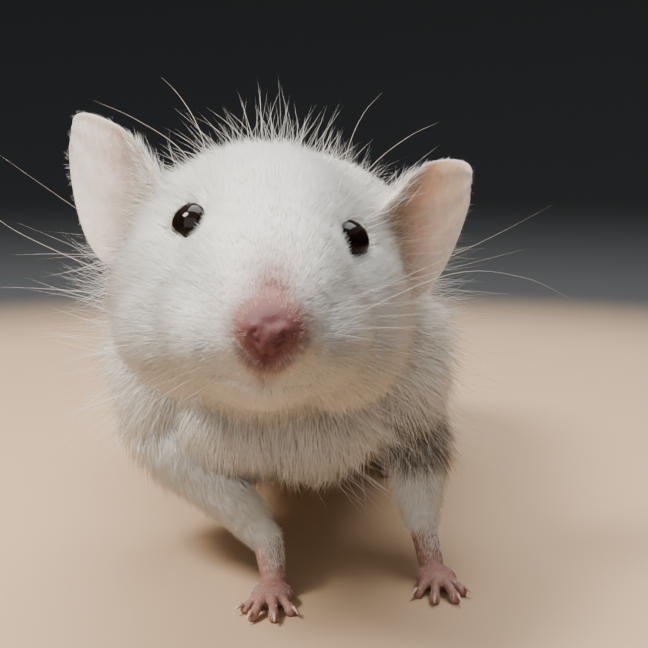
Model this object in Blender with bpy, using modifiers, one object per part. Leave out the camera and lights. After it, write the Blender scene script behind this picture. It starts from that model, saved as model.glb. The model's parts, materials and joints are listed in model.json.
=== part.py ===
"""A white pet mouse at life size, standing on four feet with its head raised, as a still museum model.

The mouse faces -Y, its left side is +X and the floor is Z = 0. The solids reach to the tips of the coat.
Soft masses are fused into one body, which is then parted into head, neck, trunk and legs. Ears, eyes, nose
pad, feet, claws and tail are pieces of their own. Lengths are in millimetres until mesh_object(), which
turns them into metres, and Y is counted from the point between the eyes until place_on_origin().
"""

import math

import bmesh
import bpy
import numpy as np
from mathutils import Matrix, Vector

# Driving dimensions, in millimetres and degrees.
MM = 0.001
GAP = 0.3
EYE_HEIGHT = 27.2
HEAD_PITCH = 9.0
HEAD_ROLL = 6.5
HEAD_YAW = 3.2
FLOOR_DEPTH = 10.0
SLAB_RADIUS = 40.0

# How finely the solids are faceted.
BODY_VOXEL = 0.6
BODY_SMOOTHING = 11
BODY_TRIANGLES = 2600
REGION_VOXEL = 0.8
REGION_TRIANGLES = 90
FOOT_VOXEL = 0.22
FOOT_SMOOTHING = 3
FOREFOOT_TRIANGLES = 250
HINDFOOT_TRIANGLES = 310

# The parts' plain colours: base colour, roughness.
FINISHES = {
    "coat": ((0.86, 0.85, 0.82), 0.8),
    "bare_skin": ((0.80, 0.55, 0.50), 0.5),
    "nose": ((0.62, 0.27, 0.26), 0.4),
    "eye": ((0.01, 0.008, 0.008), 0.05),
    "claw": ((0.85, 0.76, 0.70), 0.4),
}

# Sections of the neck and trunk: distance behind the eyes, half width, top and bottom height.
TRUNK_SECTIONS = (
    (5.0, 8.4, 27.5, 15.0),
    (9.0, 9.6, 29.2, 11.6),
    (14.0, 10.6, 29.8, 8.6),
    (20.0, 11.6, 30.4, 7.4),
    (28.0, 12.6, 31.2, 6.6),
    (38.0, 13.9, 32.3, 5.8),
    (48.0, 14.7, 32.3, 5.4),
    (56.0, 13.9, 30.6, 6.0),
    (62.0, 11.4, 26.6, 7.6),
    (66.5, 7.8, 22.2, 9.4),
    (69.0, 3.9, 18.2, 11.4),
)

# Sections of the skull and snout: distance ahead of the eyes, half width, top and bottom above the eyes.
SNOUT_SECTIONS = (
    (-13.0, 7.6, 3.8, -9.0),
    (-9.0, 8.0, 4.8, -9.6),
    (-4.0, 7.3, 5.0, -9.6),
    (0.0, 6.2, 4.3, -9.3),
    (4.0, 5.7, 2.9, -8.9),
    (8.0, 4.7, 0.9, -8.1),
    (11.0, 3.3, -0.9, -6.8),
    (13.0, 1.9, -1.9, -5.2),
)

# Masses of the head: centre (side, ahead, up) and radii. A side of 0 stands once, others on both sides.
HEAD_MASSES = {
    "cheek": ((4.8, -3.4, -5.6), (5.15, 7.2, 5.6)),
    "whisker_pad": ((3.0, 7.0, -4.4), (3.1, 4.6, 3.2)),
    "jaw": ((0.0, 2.5, -7.2), (4.4, 7.5, 2.8)),
    "jowl": ((5.2, 1.6, -6.4), (4.1, 6.2, 3.9)),
    "temple": ((5.2, -5.2, -0.8), (2.9, 3.5, 3.2)),
    "throat": ((0.0, -7.0, -8.0), (7.4, 7.0, 4.4)),
}

# Masses of the trunk and legs on the left side: centre (side, behind, height) and radii.
SHOULDER = ((9.0, 17.5, 14.6), (4.9, 6.4, 7.6))
BREAST = ((3.6, 13.0, 13.0), (5.0, 6.0, 5.4))
HAUNCH = ((9.8, 50.5, 14.0), (5.6, 11.0, 9.4))
UPPER_ARM = ((12.8, 18.8, 11.4), (6.8, 6.2, 6.4))
THIGH = ((14.0, 50.5, 12.4), (7.4, 10.6, 9.6))

# Legs as points (side, behind, height) with a radius each, from the body down to the wrist or ankle.
RIGHT_FORELEG = (
    ((-9.6, 18.0, 11.8), 4.2),
    ((-8.4, 15.0, 9.9), 3.6),
    ((-4.1, 10.4, 7.0), 2.5),
    ((-0.9, 7.8, 4.1), 1.5),
)
LEFT_FORELEG = (
    ((9.6, 18.0, 11.8), 4.1),
    ((10.5, 16.4, 9.6), 3.3),
    ((10.7, 13.6, 6.6), 2.3),
    ((10.9, 11.2, 4.0), 1.5),
)
LEFT_HINDLEG = (
    ((9.6, 49.0, 14.0), 6.0),
    ((10.4, 42.5, 9.0), 4.0),
    ((10.2, 50.0, 6.2), 2.9),
    ((9.8, 55.6, 4.3), 2.0),
)
WRIST_RADIUS = 1.1
ANKLE_RADIUS = 1.35

# The feet: where the middle of the ball of the foot stands, the turn of the toes outwards, and the heel's length.
FOREFOOT_BALLS = {"right": (-0.4, 4.7), "left": (11.8, 8.2)}
FOREFOOT_TURNS = {"right": -8.0, "left": 6.0}
HINDFOOT_BALL = (10.2, 45.0)
HINDFOOT_TURN = 5.0
HINDFOOT_SOLE = 11.0

# The digits of a foot from the inside out: turn, start ahead of the ball, length and radius.
FOREFOOT_DIGITS = ((-40.0, 0.0, 1.8, 0.42), (-13.0, 0.3, 2.4, 0.44), (13.0, 0.3, 2.4, 0.44), (42.0, 0.0, 1.9, 0.42))
HINDFOOT_DIGITS = (
    (-28.0, -1.8, 2.9, 0.56),
    (-11.0, 0.2, 4.3, 0.58),
    (0.0, 0.5, 4.7, 0.58),
    (11.0, 0.2, 4.3, 0.58),
    (28.0, -2.0, 3.0, 0.56),
)
CLAW_LENGTH = 0.9
CLAW_RADIUS = 0.26
CLAW_DROOP = 28.0

# The tail's route from the rump to the tip, as points with a radius each, and how many lengths it is in.
TAIL_ROUTE = (
    ((0.0, 66.0, 14.6), 2.7),
    ((0.2, 71.5, 11.6), 2.25),
    ((1.0, 78.5, 5.8), 1.95),
    ((2.6, 86.5, 2.1), 1.75),
    ((5.4, 99.0, 1.4), 1.5),
    ((4.6, 113.0, 1.15), 1.25),
    ((-0.8, 126.5, 0.92), 1.0),
    ((-6.0, 139.5, 0.62), 0.7),
)
TAIL_PIECES = 4
TAIL_SIDES = 9
TAIL_TIP_ROUNDING = ((0.35, 0.86), (0.6, 0.5))

# Eyes, nose and ears in the head's own axes (side, ahead, up).
EYE_CENTRE = (4.85, 0.0, -0.35)
EYE_RADIUS = 1.55
NOSE_CENTRE = (0.0, 13.0, -3.3)
NOSE_RADII = (1.6, 1.0, 1.25)
EAR_ROOT = (6.6, -5.5, -1.0)
EAR_UP = (-0.1, 0.0, 1.0)
EAR_ROOT_HALF_WIDTH = 4.0
EAR_WIDEST = 0.39
EAR_TIP_CURL = 2.0
EAR_CUP_ROOT = 2.0
EAR_CUP_TIP = 0.1
EAR_THICKNESS = 0.8
EAR_LAST_ROW = 0.985
EAR_ROW_SPREAD = 0.85

# The two ears, which are not held alike: the way each points, its length, half width and the rise of its tip.
EARS = {
    -1: ((0.65, -0.73, 0.0), 12.9, 4.8, 1.5),
    1: ((0.69, -0.73, 0.0), 13.0, 4.9, 0.95),
}


def head_matrix():
    """The turn and place of the head, whose own axes are side, -ahead and up about the point between the eyes."""
    turn = (
        Matrix.Rotation(math.radians(HEAD_YAW), 4, "Z")
        @ Matrix.Rotation(math.radians(HEAD_PITCH), 4, "X")
        @ Matrix.Rotation(math.radians(HEAD_ROLL), 4, "Y")
    )
    return Matrix.Translation((0.0, 0.0, EYE_HEIGHT)) @ turn


def head_point(side, ahead, up):
    """A point given in the head's own axes, in the mouse's axes."""
    return head_matrix() @ Vector((side, -ahead, up))


def material(name):
    """The named finish as a Principled material, made once."""
    found = bpy.data.materials.get(name)
    if found:
        return found
    made = bpy.data.materials.new(name)
    made.use_nodes = True
    colour, roughness = FINISHES[name]
    shader = made.node_tree.nodes["Principled BSDF"]
    shader.inputs["Base Color"].default_value = (*colour, 1.0)
    shader.inputs["Roughness"].default_value = roughness
    shader.inputs["Metallic"].default_value = 0.0
    made.diffuse_color = (*colour, 1.0)
    return made


def mesh_object(name, bm, finish):
    """A part of the mouse with the mesh that bm holds in millimetres. Frees bm."""
    bmesh.ops.transform(bm, matrix=Matrix.Scale(MM, 4), verts=bm.verts)
    bmesh.ops.recalc_face_normals(bm, faces=bm.faces)
    mesh = bpy.data.meshes.new(name)
    bm.to_mesh(mesh)
    bm.free()
    obj = bpy.data.objects.new(name, mesh)
    obj.data.materials.append(material(finish))
    bpy.data.collections["white_mouse"].objects.link(obj)
    return obj


def copy_object(obj, name):
    """A second part with a copy of the mesh of obj."""
    made = bpy.data.objects.new(name, obj.data.copy())
    bpy.data.collections["white_mouse"].objects.link(made)
    return made


def as_cutter(obj):
    """Moves obj out of the model, to be used only to cut with."""
    bpy.data.collections["white_mouse"].objects.unlink(obj)
    bpy.data.collections["cutters"].objects.link(obj)
    obj.display_type = "WIRE"
    obj.hide_render = True
    return obj


def apply_modifiers(obj):
    """Bakes the modifiers of obj into its mesh."""
    bpy.context.view_layer.update()
    graph = bpy.context.evaluated_depsgraph_get()
    mesh = bpy.data.meshes.new_from_object(obj.evaluated_get(graph))
    obj.modifiers.clear()
    obj.data = mesh


def grown_cutter(obj, name, grow):
    """A cutter shaped like obj with its surface moved outwards by grow millimetres."""
    made = as_cutter(copy_object(obj, name))
    swell = made.modifiers.new("grow", "DISPLACE")
    swell.strength = grow * MM
    swell.mid_level = 0.0
    apply_modifiers(made)
    return made


def boolean(obj, other, operation):
    """Cuts obj by other, or keeps what they share, and bakes the result."""
    cut = obj.modifiers.new(operation.lower(), "BOOLEAN")
    cut.operation = operation
    cut.object = other
    cut.solver = "EXACT"
    apply_modifiers(obj)


def clear_of(obj, others):
    """Cuts obj back until it stands a gap away from each of the others."""
    for other in others:
        boolean(obj, grown_cutter(other, f"{other.name}_around_{obj.name}", GAP), "DIFFERENCE")
    keep_largest_island(obj)


def keep_largest_island(obj, wanted=lambda island: True):
    """Removes all but the largest of the separate shells in obj that are wanted."""
    bm = bmesh.new()
    bm.from_mesh(obj.data)
    unseen, islands = set(bm.verts), []
    while unseen:
        todo, island = [unseen.pop()], []
        while todo:
            vert = todo.pop()
            island.append(vert)
            near = {edge.other_vert(vert) for edge in vert.link_edges} & unseen
            unseen -= near
            todo.extend(near)
        islands.append(island)
    kept = max((island for island in islands if wanted(island)), key=len)
    gone = [vert for island in islands if island is not kept for vert in island]
    bmesh.ops.delete(bm, geom=gone, context="VERTS")
    bm.to_mesh(obj.data)
    bm.free()


def fuse(obj, voxel, smoothing, triangles):
    """Turns the overlapping masses in obj into one smooth skin of about this many triangles."""
    remesh = obj.modifiers.new("join_masses", "REMESH")
    remesh.mode = "VOXEL"
    remesh.voxel_size = voxel * MM
    relax = obj.modifiers.new("soften_joins", "SMOOTH")
    relax.factor = 0.5
    relax.iterations = smoothing
    apply_modifiers(obj)
    made = sum(len(face.vertices) - 2 for face in obj.data.polygons)
    thin = obj.modifiers.new("fewer_facets", "DECIMATE")
    thin.ratio = min(1.0, triangles / made)
    apply_modifiers(obj)


def smooth_rows(rows, steps):
    """Rows of numbers resampled on a Catmull-Rom spline, with this many steps from one row to the next."""
    rows = np.array(rows, float)
    padded = np.vstack([2 * rows[0] - rows[1], rows, 2 * rows[-1] - rows[-2]])
    made = []
    for i in range(len(rows) - 1):
        a, b, c, d = padded[i : i + 4]
        for t in np.arange(steps) / steps:
            bend = (2 * a - 5 * b + 4 * c - d) * t**2 + (3 * b - a - 3 * c + d) * t**3
            made.append(0.5 * (2 * b + (c - a) * t + bend))
    return np.array([*made, rows[-1]])


def add_ball(bm, centre, radii, turn=Matrix(), segments=24, rings=16):
    """Adds an ellipsoid to bm, turned about its centre by a matrix."""
    place = Matrix.Translation(centre) @ turn @ Matrix.Diagonal((*radii, 1.0))
    bmesh.ops.create_uvsphere(bm, u_segments=segments, v_segments=rings, radius=1.0, matrix=place)


def add_rings(bm, rings):
    """Adds a closed loft through rings of equal length, with a fan of triangles at each end."""
    loops = [[bm.verts.new(point) for point in ring] for ring in rings]
    count = len(loops[0])
    for first, second in zip(loops, loops[1:]):
        for i in range(count):
            j = (i + 1) % count
            bm.faces.new((first[i], first[j], second[j], second[i]))
    for loop in (loops[0], loops[-1]):
        middle = bm.verts.new(sum((vert.co for vert in loop), Vector()) / count)
        for i in range(count):
            bm.faces.new((loop[i], loop[(i + 1) % count], middle))


def add_section_loft(bm, sections, place_point, sides=28, power=2.0):
    """Adds a loft of upright superellipse sections: distance, half width, top and bottom."""
    around = 2 * math.pi * np.arange(sides) / sides
    across = np.sign(np.cos(around)) * np.abs(np.cos(around)) ** (2 / power)
    upward = np.sign(np.sin(around)) * np.abs(np.sin(around)) ** (2 / power)
    rings = []
    for distance, half_width, top, bottom in smooth_rows(sections, 4).tolist():
        middle, half_height = (top + bottom) / 2, (top - bottom) / 2
        rings.append([place_point(half_width * x, distance, middle + half_height * z) for x, z in zip(across, upward)])
    add_rings(bm, rings)


def tube_rings(rows, sides):
    """Rings of points round a route of rows (x, y, z, radius)."""
    points = [Vector(row[:3]) for row in rows]
    angles = [2 * math.pi * k / sides for k in range(sides)]
    rings = []
    for i, (point, radius) in enumerate(zip(points, [row[3] for row in rows])):
        along = (points[min(i + 1, len(points) - 1)] - points[max(i - 1, 0)]).normalized()
        side = along.cross(Vector((0, 0, 1)))
        side = side.normalized() if side.length > 0.1 else Vector((1, 0, 0))
        up = side.cross(along)
        rings.append([point + radius * (math.cos(a) * side + math.sin(a) * up) for a in angles])
    return rings


def add_tube(bm, route, steps=4, sides=14):
    """Adds a round tube on a smooth route through points with a radius each, with a ball at each end."""
    rows = smooth_rows([(*point, radius) for point, radius in route], steps).tolist()
    add_rings(bm, tube_rings(rows, sides))
    for x, y, z, radius in (rows[0], rows[-1]):
        add_ball(bm, (x, y, z), (radius,) * 3, segments=14, rings=10)


def mirrored(side, centre_and_radii):
    """A mass given for the left side, on the side -1 (right) or 1 (left)."""
    (x, y, z), radii = centre_and_radii
    return (side * x, y, z), radii


def leg_route(name, side):
    """The points of the named leg on the side -1 (right) or 1 (left)."""
    if name == "foreleg":
        return LEFT_FORELEG if side > 0 else RIGHT_FORELEG
    return tuple(((side * x, y, z), radius) for (x, y, z), radius in LEFT_HINDLEG)


def build_flesh():
    """The whole furred body as one soft solid: head, neck, trunk and legs down to wrists and ankles."""
    bm = bmesh.new()
    add_section_loft(bm, TRUNK_SECTIONS, lambda x, y, z: Vector((x, y, z)))
    add_section_loft(bm, SNOUT_SECTIONS, head_point)
    head_turn = head_matrix().to_3x3().to_4x4()
    for (side, ahead, up), radii in HEAD_MASSES.values():
        for sign in (1,) if side == 0 else (-1, 1):
            add_ball(bm, head_point(sign * side, ahead, up), radii, head_turn)
    for side in (-1, 1):
        for mass in (SHOULDER, BREAST, HAUNCH):
            add_ball(bm, *mirrored(side, mass))
        for name in ("foreleg", "hindleg"):
            add_tube(bm, leg_route(name, side))
    flesh = mesh_object("trunk", bm, "coat")
    fuse(flesh, BODY_VOXEL, BODY_SMOOTHING, BODY_TRIANGLES)
    return flesh


def part_leg(flesh, name, route, joint_mass, margin=0.6):
    """Takes one leg out of the flesh along a rounded hull, with a gap all round it."""
    bm = bmesh.new()
    add_tube(bm, [(point, radius + margin) for point, radius in route])
    add_ball(bm, *joint_mass)
    hull = as_cutter(mesh_object(name + "_hull", bm, "coat"))
    fuse(hull, REGION_VOXEL, 2, REGION_TRIANGLES)
    leg = copy_object(flesh, name)
    boolean(leg, hull, "INTERSECT")
    keep_largest_island(leg)
    boolean(flesh, grown_cutter(hull, name + "_socket", GAP), "DIFFERENCE")
    keep_largest_island(flesh)
    return leg


def part_by_plane(flesh, name, centre, normal):
    """Cuts flesh by a thin slab. What lies ahead of it becomes a new part, and the rest stays in flesh."""
    bm = bmesh.new()
    turn = Vector((0, 0, 1)).rotation_difference(Vector(normal)).to_matrix().to_4x4()
    bmesh.ops.create_cone(
        bm,
        cap_ends=True,
        segments=24,
        radius1=SLAB_RADIUS,
        radius2=SLAB_RADIUS,
        depth=GAP,
        matrix=Matrix.Translation(centre) @ turn,
    )
    boolean(flesh, as_cutter(mesh_object(name + "_slab", bm, "coat")), "DIFFERENCE")
    middle, facing = Vector(centre) * MM, Vector(normal)

    def ahead(island):
        return sum((vert.co - middle).dot(facing) for vert in island) < 0

    part = copy_object(flesh, name)
    keep_largest_island(part, ahead)
    keep_largest_island(flesh, lambda island: not ahead(island))
    return part


def clear_scene():
    """Removes the startup objects and makes the two collections."""
    for obj in list(bpy.data.objects):
        bpy.data.objects.remove(obj)
    for name in ("white_mouse", "cutters"):
        bpy.context.scene.collection.children.link(bpy.data.collections.new(name))


def build_eye(head, name, side):
    """One eyeball, and its socket in the head."""
    x, ahead, up = EYE_CENTRE
    bm = bmesh.new()
    add_ball(bm, head_point(side * x, ahead, up), (EYE_RADIUS,) * 3, segments=14, rings=10)
    eye = mesh_object(name, bm, "eye")
    boolean(head, grown_cutter(eye, name + "_socket", GAP), "DIFFERENCE")
    return eye


def build_nose(head):
    """The bare nose pad, and its seat in the head."""
    bm = bmesh.new()
    turn = head_matrix().to_3x3().to_4x4()
    add_ball(bm, head_point(*NOSE_CENTRE), NOSE_RADII, turn, segments=14, rings=9)
    nose = mesh_object("nose", bm, "nose")
    boolean(head, grown_cutter(nose, "nose_seat", GAP), "DIFFERENCE")
    return nose


def ear_half_width(s, widest):
    """Half the ear's width at s of its length: nearly parallel at the root, then widest, and round at the tip."""
    if s < EAR_WIDEST:
        return EAR_ROOT_HALF_WIDTH + (widest - EAR_ROOT_HALF_WIDTH) * math.sin(math.pi / 2 * s / EAR_WIDEST)
    return widest * math.sqrt(max(0.0, 1 - ((s - EAR_WIDEST) / (1 - EAR_WIDEST)) ** 2))


def build_ear(name, side, rows=8, columns=8):
    """One ear: a leaf that is cupped forwards and outwards, most of all at the root, given a thickness."""
    direction, length, half_width, tip_rise = EARS[side]
    axis = Vector(direction).normalized()
    across = Vector(EAR_UP)
    across = (across - across.dot(axis) * axis).normalized()
    facing = across.cross(axis)
    facing = facing if facing.x > 0 else -facing
    bm = bmesh.new()
    grid = []
    for i in range(rows + 1):
        s = EAR_LAST_ROW * (i / rows) ** EAR_ROW_SPREAD
        width = ear_half_width(s, half_width)
        cup = EAR_CUP_ROOT + (EAR_CUP_TIP - EAR_CUP_ROOT) * s
        line = []
        for j in range(columns + 1):
            t = 2 * j / columns - 1
            rise = t * width + tip_rise * s**2 + EAR_TIP_CURL * s**5
            forward = cup * (t * width / half_width) ** 2
            point = Vector(EAR_ROOT) + s * length * axis + rise * across + forward * facing
            line.append(bm.verts.new(head_point(side * point.x, point.y, point.z)))
        grid.append(line)
    for first, second in zip(grid, grid[1:]):
        for j in range(columns):
            bm.faces.new((first[j], first[j + 1], second[j + 1], second[j]))
    ear = mesh_object(name, bm, "bare_skin")
    shell = ear.modifiers.new("thickness", "SOLIDIFY")
    shell.thickness = EAR_THICKNESS * MM
    shell.offset = 0.0
    apply_modifiers(ear)
    return ear


def foot_frame(ball, turn):
    """A matrix from a foot's own axes (outwards, back, up) to the mouse's, turned outwards by degrees."""
    return Matrix.Translation((*ball, 0.0)) @ Matrix.Rotation(math.radians(turn), 4, "Z")


def build_foot(name, frame, side, heel, ankle, digits, voxel_triangles):
    """One bare foot with its claws: a pad, a sole back to the heel, a pastern up to the ankle and the digits."""
    bm = bmesh.new()
    heel_radius = 1.15
    pad = frame @ Vector((0.0, 0.4, 0.85))
    back = frame @ Vector((0.0, heel, heel_radius - 0.1))
    lift = 0.5 * (back + Vector(ankle[0])) + Vector((0.0, 0.2, 0.1))
    add_ball(bm, pad, (1.75, 1.9, 0.95), frame.to_3x3().to_4x4())
    add_tube(bm, [(pad, 1.0), (0.5 * (pad + back), 1.05), (back, heel_radius)])
    add_tube(bm, [(back, heel_radius), (lift, 0.5 * (heel_radius + ankle[1])), ankle])
    claws = []
    for turn, start, length, radius in digits:
        aim = frame @ Matrix.Rotation(math.radians(-turn * side), 4, "Z")
        centre = frame @ Vector((0.0, 0.4, 0.0))
        forward = (aim @ Vector((0.0, -1.0, 0.0)) - aim @ Vector()).normalized()
        root = centre + forward * (start + 0.6)
        tip = root + forward * length
        route = [
            (root + Vector((0, 0, 0.9)), radius * 1.15),
            (root + forward * 0.5 * length + Vector((0, 0, radius + 0.45)), radius),
            (tip + Vector((0, 0, radius - 0.12)), radius * 1.05),
        ]
        add_tube(bm, route, steps=3, sides=10)
        claws.append((tip + forward * (radius + GAP + 0.02) + Vector((0, 0, radius + 0.22)), forward))
    foot = mesh_object(name, bm, "bare_skin")
    fuse(foot, FOOT_VOXEL, FOOT_SMOOTHING, voxel_triangles)
    for number, (place, forward) in enumerate(claws, 1):
        build_claw(f"{name}_claw_{number}", place, forward)
    return foot


def build_claw(name, root, forward):
    """One claw: a short cone with a blunt end, drooping ahead of its toe."""
    across = forward.cross(Vector((0, 0, 1))).normalized()
    aim = Matrix.Rotation(-math.radians(CLAW_DROOP), 3, across) @ forward
    turn = Vector((0, 0, 1)).rotation_difference(aim).to_matrix().to_4x4()
    middle = root + 0.5 * CLAW_LENGTH * aim
    bm = bmesh.new()
    bmesh.ops.create_cone(
        bm,
        cap_ends=True,
        segments=8,
        radius1=CLAW_RADIUS,
        radius2=0.3 * CLAW_RADIUS,
        depth=CLAW_LENGTH,
        matrix=Matrix.Translation(middle) @ turn,
    )
    return mesh_object(name, bm, "claw")


def build_tail():
    """The tail in lengths with gaps between them, each a tapering round tube."""
    rows = smooth_rows([(*point, radius) for point, radius in TAIL_ROUTE], 4)
    onward = (rows[-1] - rows[-2]) / np.linalg.norm((rows[-1] - rows[-2])[:3])
    tip = rows[-1].copy()
    for ahead, narrowing in TAIL_TIP_ROUNDING:
        rounded = tip + ahead * onward
        rounded[3] = tip[3] * narrowing
        rows = np.vstack([rows, rounded])
    count = len(rows) - 1
    parts = []
    for number in range(TAIL_PIECES):
        first, last = number * count // TAIL_PIECES, (number + 1) * count // TAIL_PIECES
        piece = rows[first : last + 1].copy()
        step = piece[1] - piece[0]
        if number:
            piece[0] += step * GAP / np.linalg.norm(step[:3])
        bm = bmesh.new()
        add_rings(bm, tube_rings(piece.tolist(), TAIL_SIDES))
        parts.append(mesh_object(f"tail_{number + 1}", bm, "bare_skin"))
    return parts


def floor_cutter():
    """A block whose top is the floor."""
    bm = bmesh.new()
    size = Matrix.Diagonal((200.0, 400.0, FLOOR_DEPTH, 1.0))
    bmesh.ops.create_cube(bm, size=1.0, matrix=Matrix.Translation((0.0, 50.0, -0.5 * FLOOR_DEPTH)) @ size)
    return as_cutter(mesh_object("floor", bm, "coat"))


def place_on_origin():
    """Moves the whole mouse so that the middle of its footprint is the origin, and shades it smooth."""
    parts = list(bpy.data.collections["white_mouse"].objects)
    bpy.context.view_layer.update()
    corners = np.array([obj.matrix_world @ vert.co for obj in parts for vert in obj.data.vertices])
    low, high = corners.min(axis=0), corners.max(axis=0)
    shift = Vector((-0.5 * (low[0] + high[0]), -0.5 * (low[1] + high[1]), -low[2]))
    for obj in parts:
        obj.location = shift
        for face in obj.data.polygons:
            face.use_smooth = True


def main():
    """Builds every part of the mouse."""
    clear_scene()
    trunk = build_flesh()
    legs = {}
    for side, word in ((-1, "right"), (1, "left")):
        for kind, mass in (("foreleg", UPPER_ARM), ("hindleg", THIGH)):
            name = f"{kind}_{word}"
            legs[name] = part_leg(trunk, name, leg_route(kind, side), mirrored(side, mass))
    head = part_by_plane(trunk, "head", (0.0, 10.5, 23.0), (0.0, 0.885, -0.466))
    neck = part_by_plane(trunk, "neck", (0.0, 16.5, 23.0), (0.0, 0.853, -0.523))
    for side, word in ((-1, "right"), (1, "left")):
        build_eye(head, f"eye_{word}", side)
        ear = build_ear(f"ear_{word}", side)
        clear_of(ear, (head, neck, trunk))
    build_nose(head)
    floor = floor_cutter()
    for side, word in ((-1, "right"), (1, "left")):
        frame = foot_frame(FOREFOOT_BALLS[word], FOREFOOT_TURNS[word])
        wrist = (Vector(leg_route("foreleg", side)[-1][0]), WRIST_RADIUS)
        foot = build_foot(f"forefoot_{word}", frame, side, 1.9, wrist, FOREFOOT_DIGITS, FOREFOOT_TRIANGLES)
        clear_of(foot, (legs[f"foreleg_{word}"],))
        boolean(foot, floor, "DIFFERENCE")
        x, y = HINDFOOT_BALL
        frame = foot_frame((side * x, y), side * HINDFOOT_TURN)
        ankle = (Vector(leg_route("hindleg", side)[-1][0]), ANKLE_RADIUS)
        foot = build_foot(
            f"hindfoot_{word}", frame, side, HINDFOOT_SOLE, ankle, HINDFOOT_DIGITS, HINDFOOT_TRIANGLES
        )
        clear_of(foot, (legs[f"hindleg_{word}"], trunk))
        boolean(foot, floor, "DIFFERENCE")
    tail = build_tail()
    clear_of(tail[0], (trunk,))
    for piece in tail:
        boolean(piece, floor, "DIFFERENCE")
    place_on_origin()


main()
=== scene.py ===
"""A white pet mouse at life size, standing with its head raised, dressed over its CAD solids.

One skin takes the place of all the flesh and lies inside it by the coat's depth. The coat is solid mesh
tufts that follow the lie of a mouse's fur, and eyes, claws and whiskers are pieces of their own.

The mouse's own axes are used throughout, in millimetres: X to its left, Y backwards from the point between
the eyes, Z up from the floor. The head has axes of its own: side, ahead and up from that same point. Only
make_object() turns millimetres into the metres of the CAD frame.
"""

import json
import logging
import math
from dataclasses import dataclass, field
from enum import Enum

import bpy
import numpy as np
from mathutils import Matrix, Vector

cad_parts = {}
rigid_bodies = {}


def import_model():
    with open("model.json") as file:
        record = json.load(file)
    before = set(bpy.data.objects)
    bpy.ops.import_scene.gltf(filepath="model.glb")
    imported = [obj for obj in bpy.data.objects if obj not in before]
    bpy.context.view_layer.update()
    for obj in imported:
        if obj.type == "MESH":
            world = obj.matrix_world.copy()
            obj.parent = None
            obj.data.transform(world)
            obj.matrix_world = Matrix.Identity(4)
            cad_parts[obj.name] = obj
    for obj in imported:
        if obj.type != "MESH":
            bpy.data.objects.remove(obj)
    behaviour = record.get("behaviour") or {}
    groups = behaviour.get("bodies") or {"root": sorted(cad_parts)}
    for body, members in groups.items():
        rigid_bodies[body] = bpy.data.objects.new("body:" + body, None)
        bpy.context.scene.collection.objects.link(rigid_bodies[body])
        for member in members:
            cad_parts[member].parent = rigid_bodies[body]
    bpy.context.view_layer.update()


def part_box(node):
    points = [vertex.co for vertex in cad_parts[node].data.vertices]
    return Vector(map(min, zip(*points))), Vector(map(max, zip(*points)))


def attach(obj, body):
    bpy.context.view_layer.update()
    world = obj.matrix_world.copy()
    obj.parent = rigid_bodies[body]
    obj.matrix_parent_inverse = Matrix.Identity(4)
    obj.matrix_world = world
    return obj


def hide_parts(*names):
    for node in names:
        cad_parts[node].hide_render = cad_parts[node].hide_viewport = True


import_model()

Array = np.ndarray
Triple = tuple[float, float, float]
Routed = tuple[tuple[Triple, float], ...]
LOG = logging.getLogger("white_mouse")
MM = 0.001
TURN = 2 * np.pi
# The middle of the trunk, about which its coat is unwrapped.
TRUNK_MIDDLE: Triple = (0.0, 30.0, 17.0)


class Slot(Enum):
    """The record's material slots."""

    COAT = "coat"
    BARE_SKIN = "bare_skin"
    EYE = "eye"
    CLAW = "claw"


class Side(Enum):
    """A side of the mouse, as the sign of X."""

    RIGHT = -1
    LEFT = 1

    @property
    def word(self) -> str:
        """The side's name in lower case, as the CAD nodes have it."""
        return self.name.lower()

    @property
    def mirror(self) -> tuple[int, int, int]:
        """The factors that take a point of the left side to this side."""
        return (self.value, 1, 1)


# ---- Axes, shapes and meshes ----


@dataclass(frozen=True)
class HeadPose:
    """The head's turn about the point between the eyes, in degrees, and that point's height."""

    eye_height: float = 27.2
    pitch: float = 9.0
    roll: float = 6.5
    yaw: float = 3.2

    def turn(self) -> Array:
        """The head's rotation: roll about Y, then pitch about X, then yaw about Z.

        Returns:
            A matrix that turns column vectors.
        """
        yaw, pitch, roll = (math.radians(angle) for angle in (self.yaw, self.pitch, self.roll))
        about_z = [[math.cos(yaw), -math.sin(yaw), 0], [math.sin(yaw), math.cos(yaw), 0], [0, 0, 1]]
        about_x = [[1, 0, 0], [0, math.cos(pitch), -math.sin(pitch)], [0, math.sin(pitch), math.cos(pitch)]]
        about_y = [[math.cos(roll), 0, math.sin(roll)], [0, 1, 0], [-math.sin(roll), 0, math.cos(roll)]]
        return np.array(about_z) @ np.array(about_x) @ np.array(about_y)

    def aims(self, local: Array) -> Array:
        """Directions given as (side, ahead, up), in the mouse's axes."""
        return (np.asarray(local, float) * (1, -1, 1)) @ self.turn().T

    def points(self, local: Array) -> Array:
        """Points given as (side, ahead, up), in the mouse's axes."""
        return self.aims(local) + (0, 0, self.eye_height)

    def local(self, points: Array) -> Array:
        """Points of the mouse's axes as (side, ahead, up)."""
        return ((points - (0, 0, self.eye_height)) @ self.turn()) * (1, -1, 1)


HEAD = HeadPose()
# The left eye in the head's axes, and its gaze, about which lids and cornea are shaped.
EYE_CENTRE: Triple = (4.85, 0.0, -0.35)
GAZE: Triple = (0.72, 0.62, 0.31)


def cad_shift() -> Array:
    """The step in millimetres from the mouse's axes to the CAD frame, found from the two CAD eyes."""
    corners = [np.array(corner) for node in ("eye_left", "eye_right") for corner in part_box(node)]
    return sum(corners) / 4 / MM - HEAD.points((0, *EYE_CENTRE[1:]))


SHIFT = cad_shift()


def unit(vectors: Array) -> Array:
    """Vectors scaled to length one."""
    return vectors / np.maximum(np.linalg.norm(vectors, axis=-1, keepdims=True), 1e-9)


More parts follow.
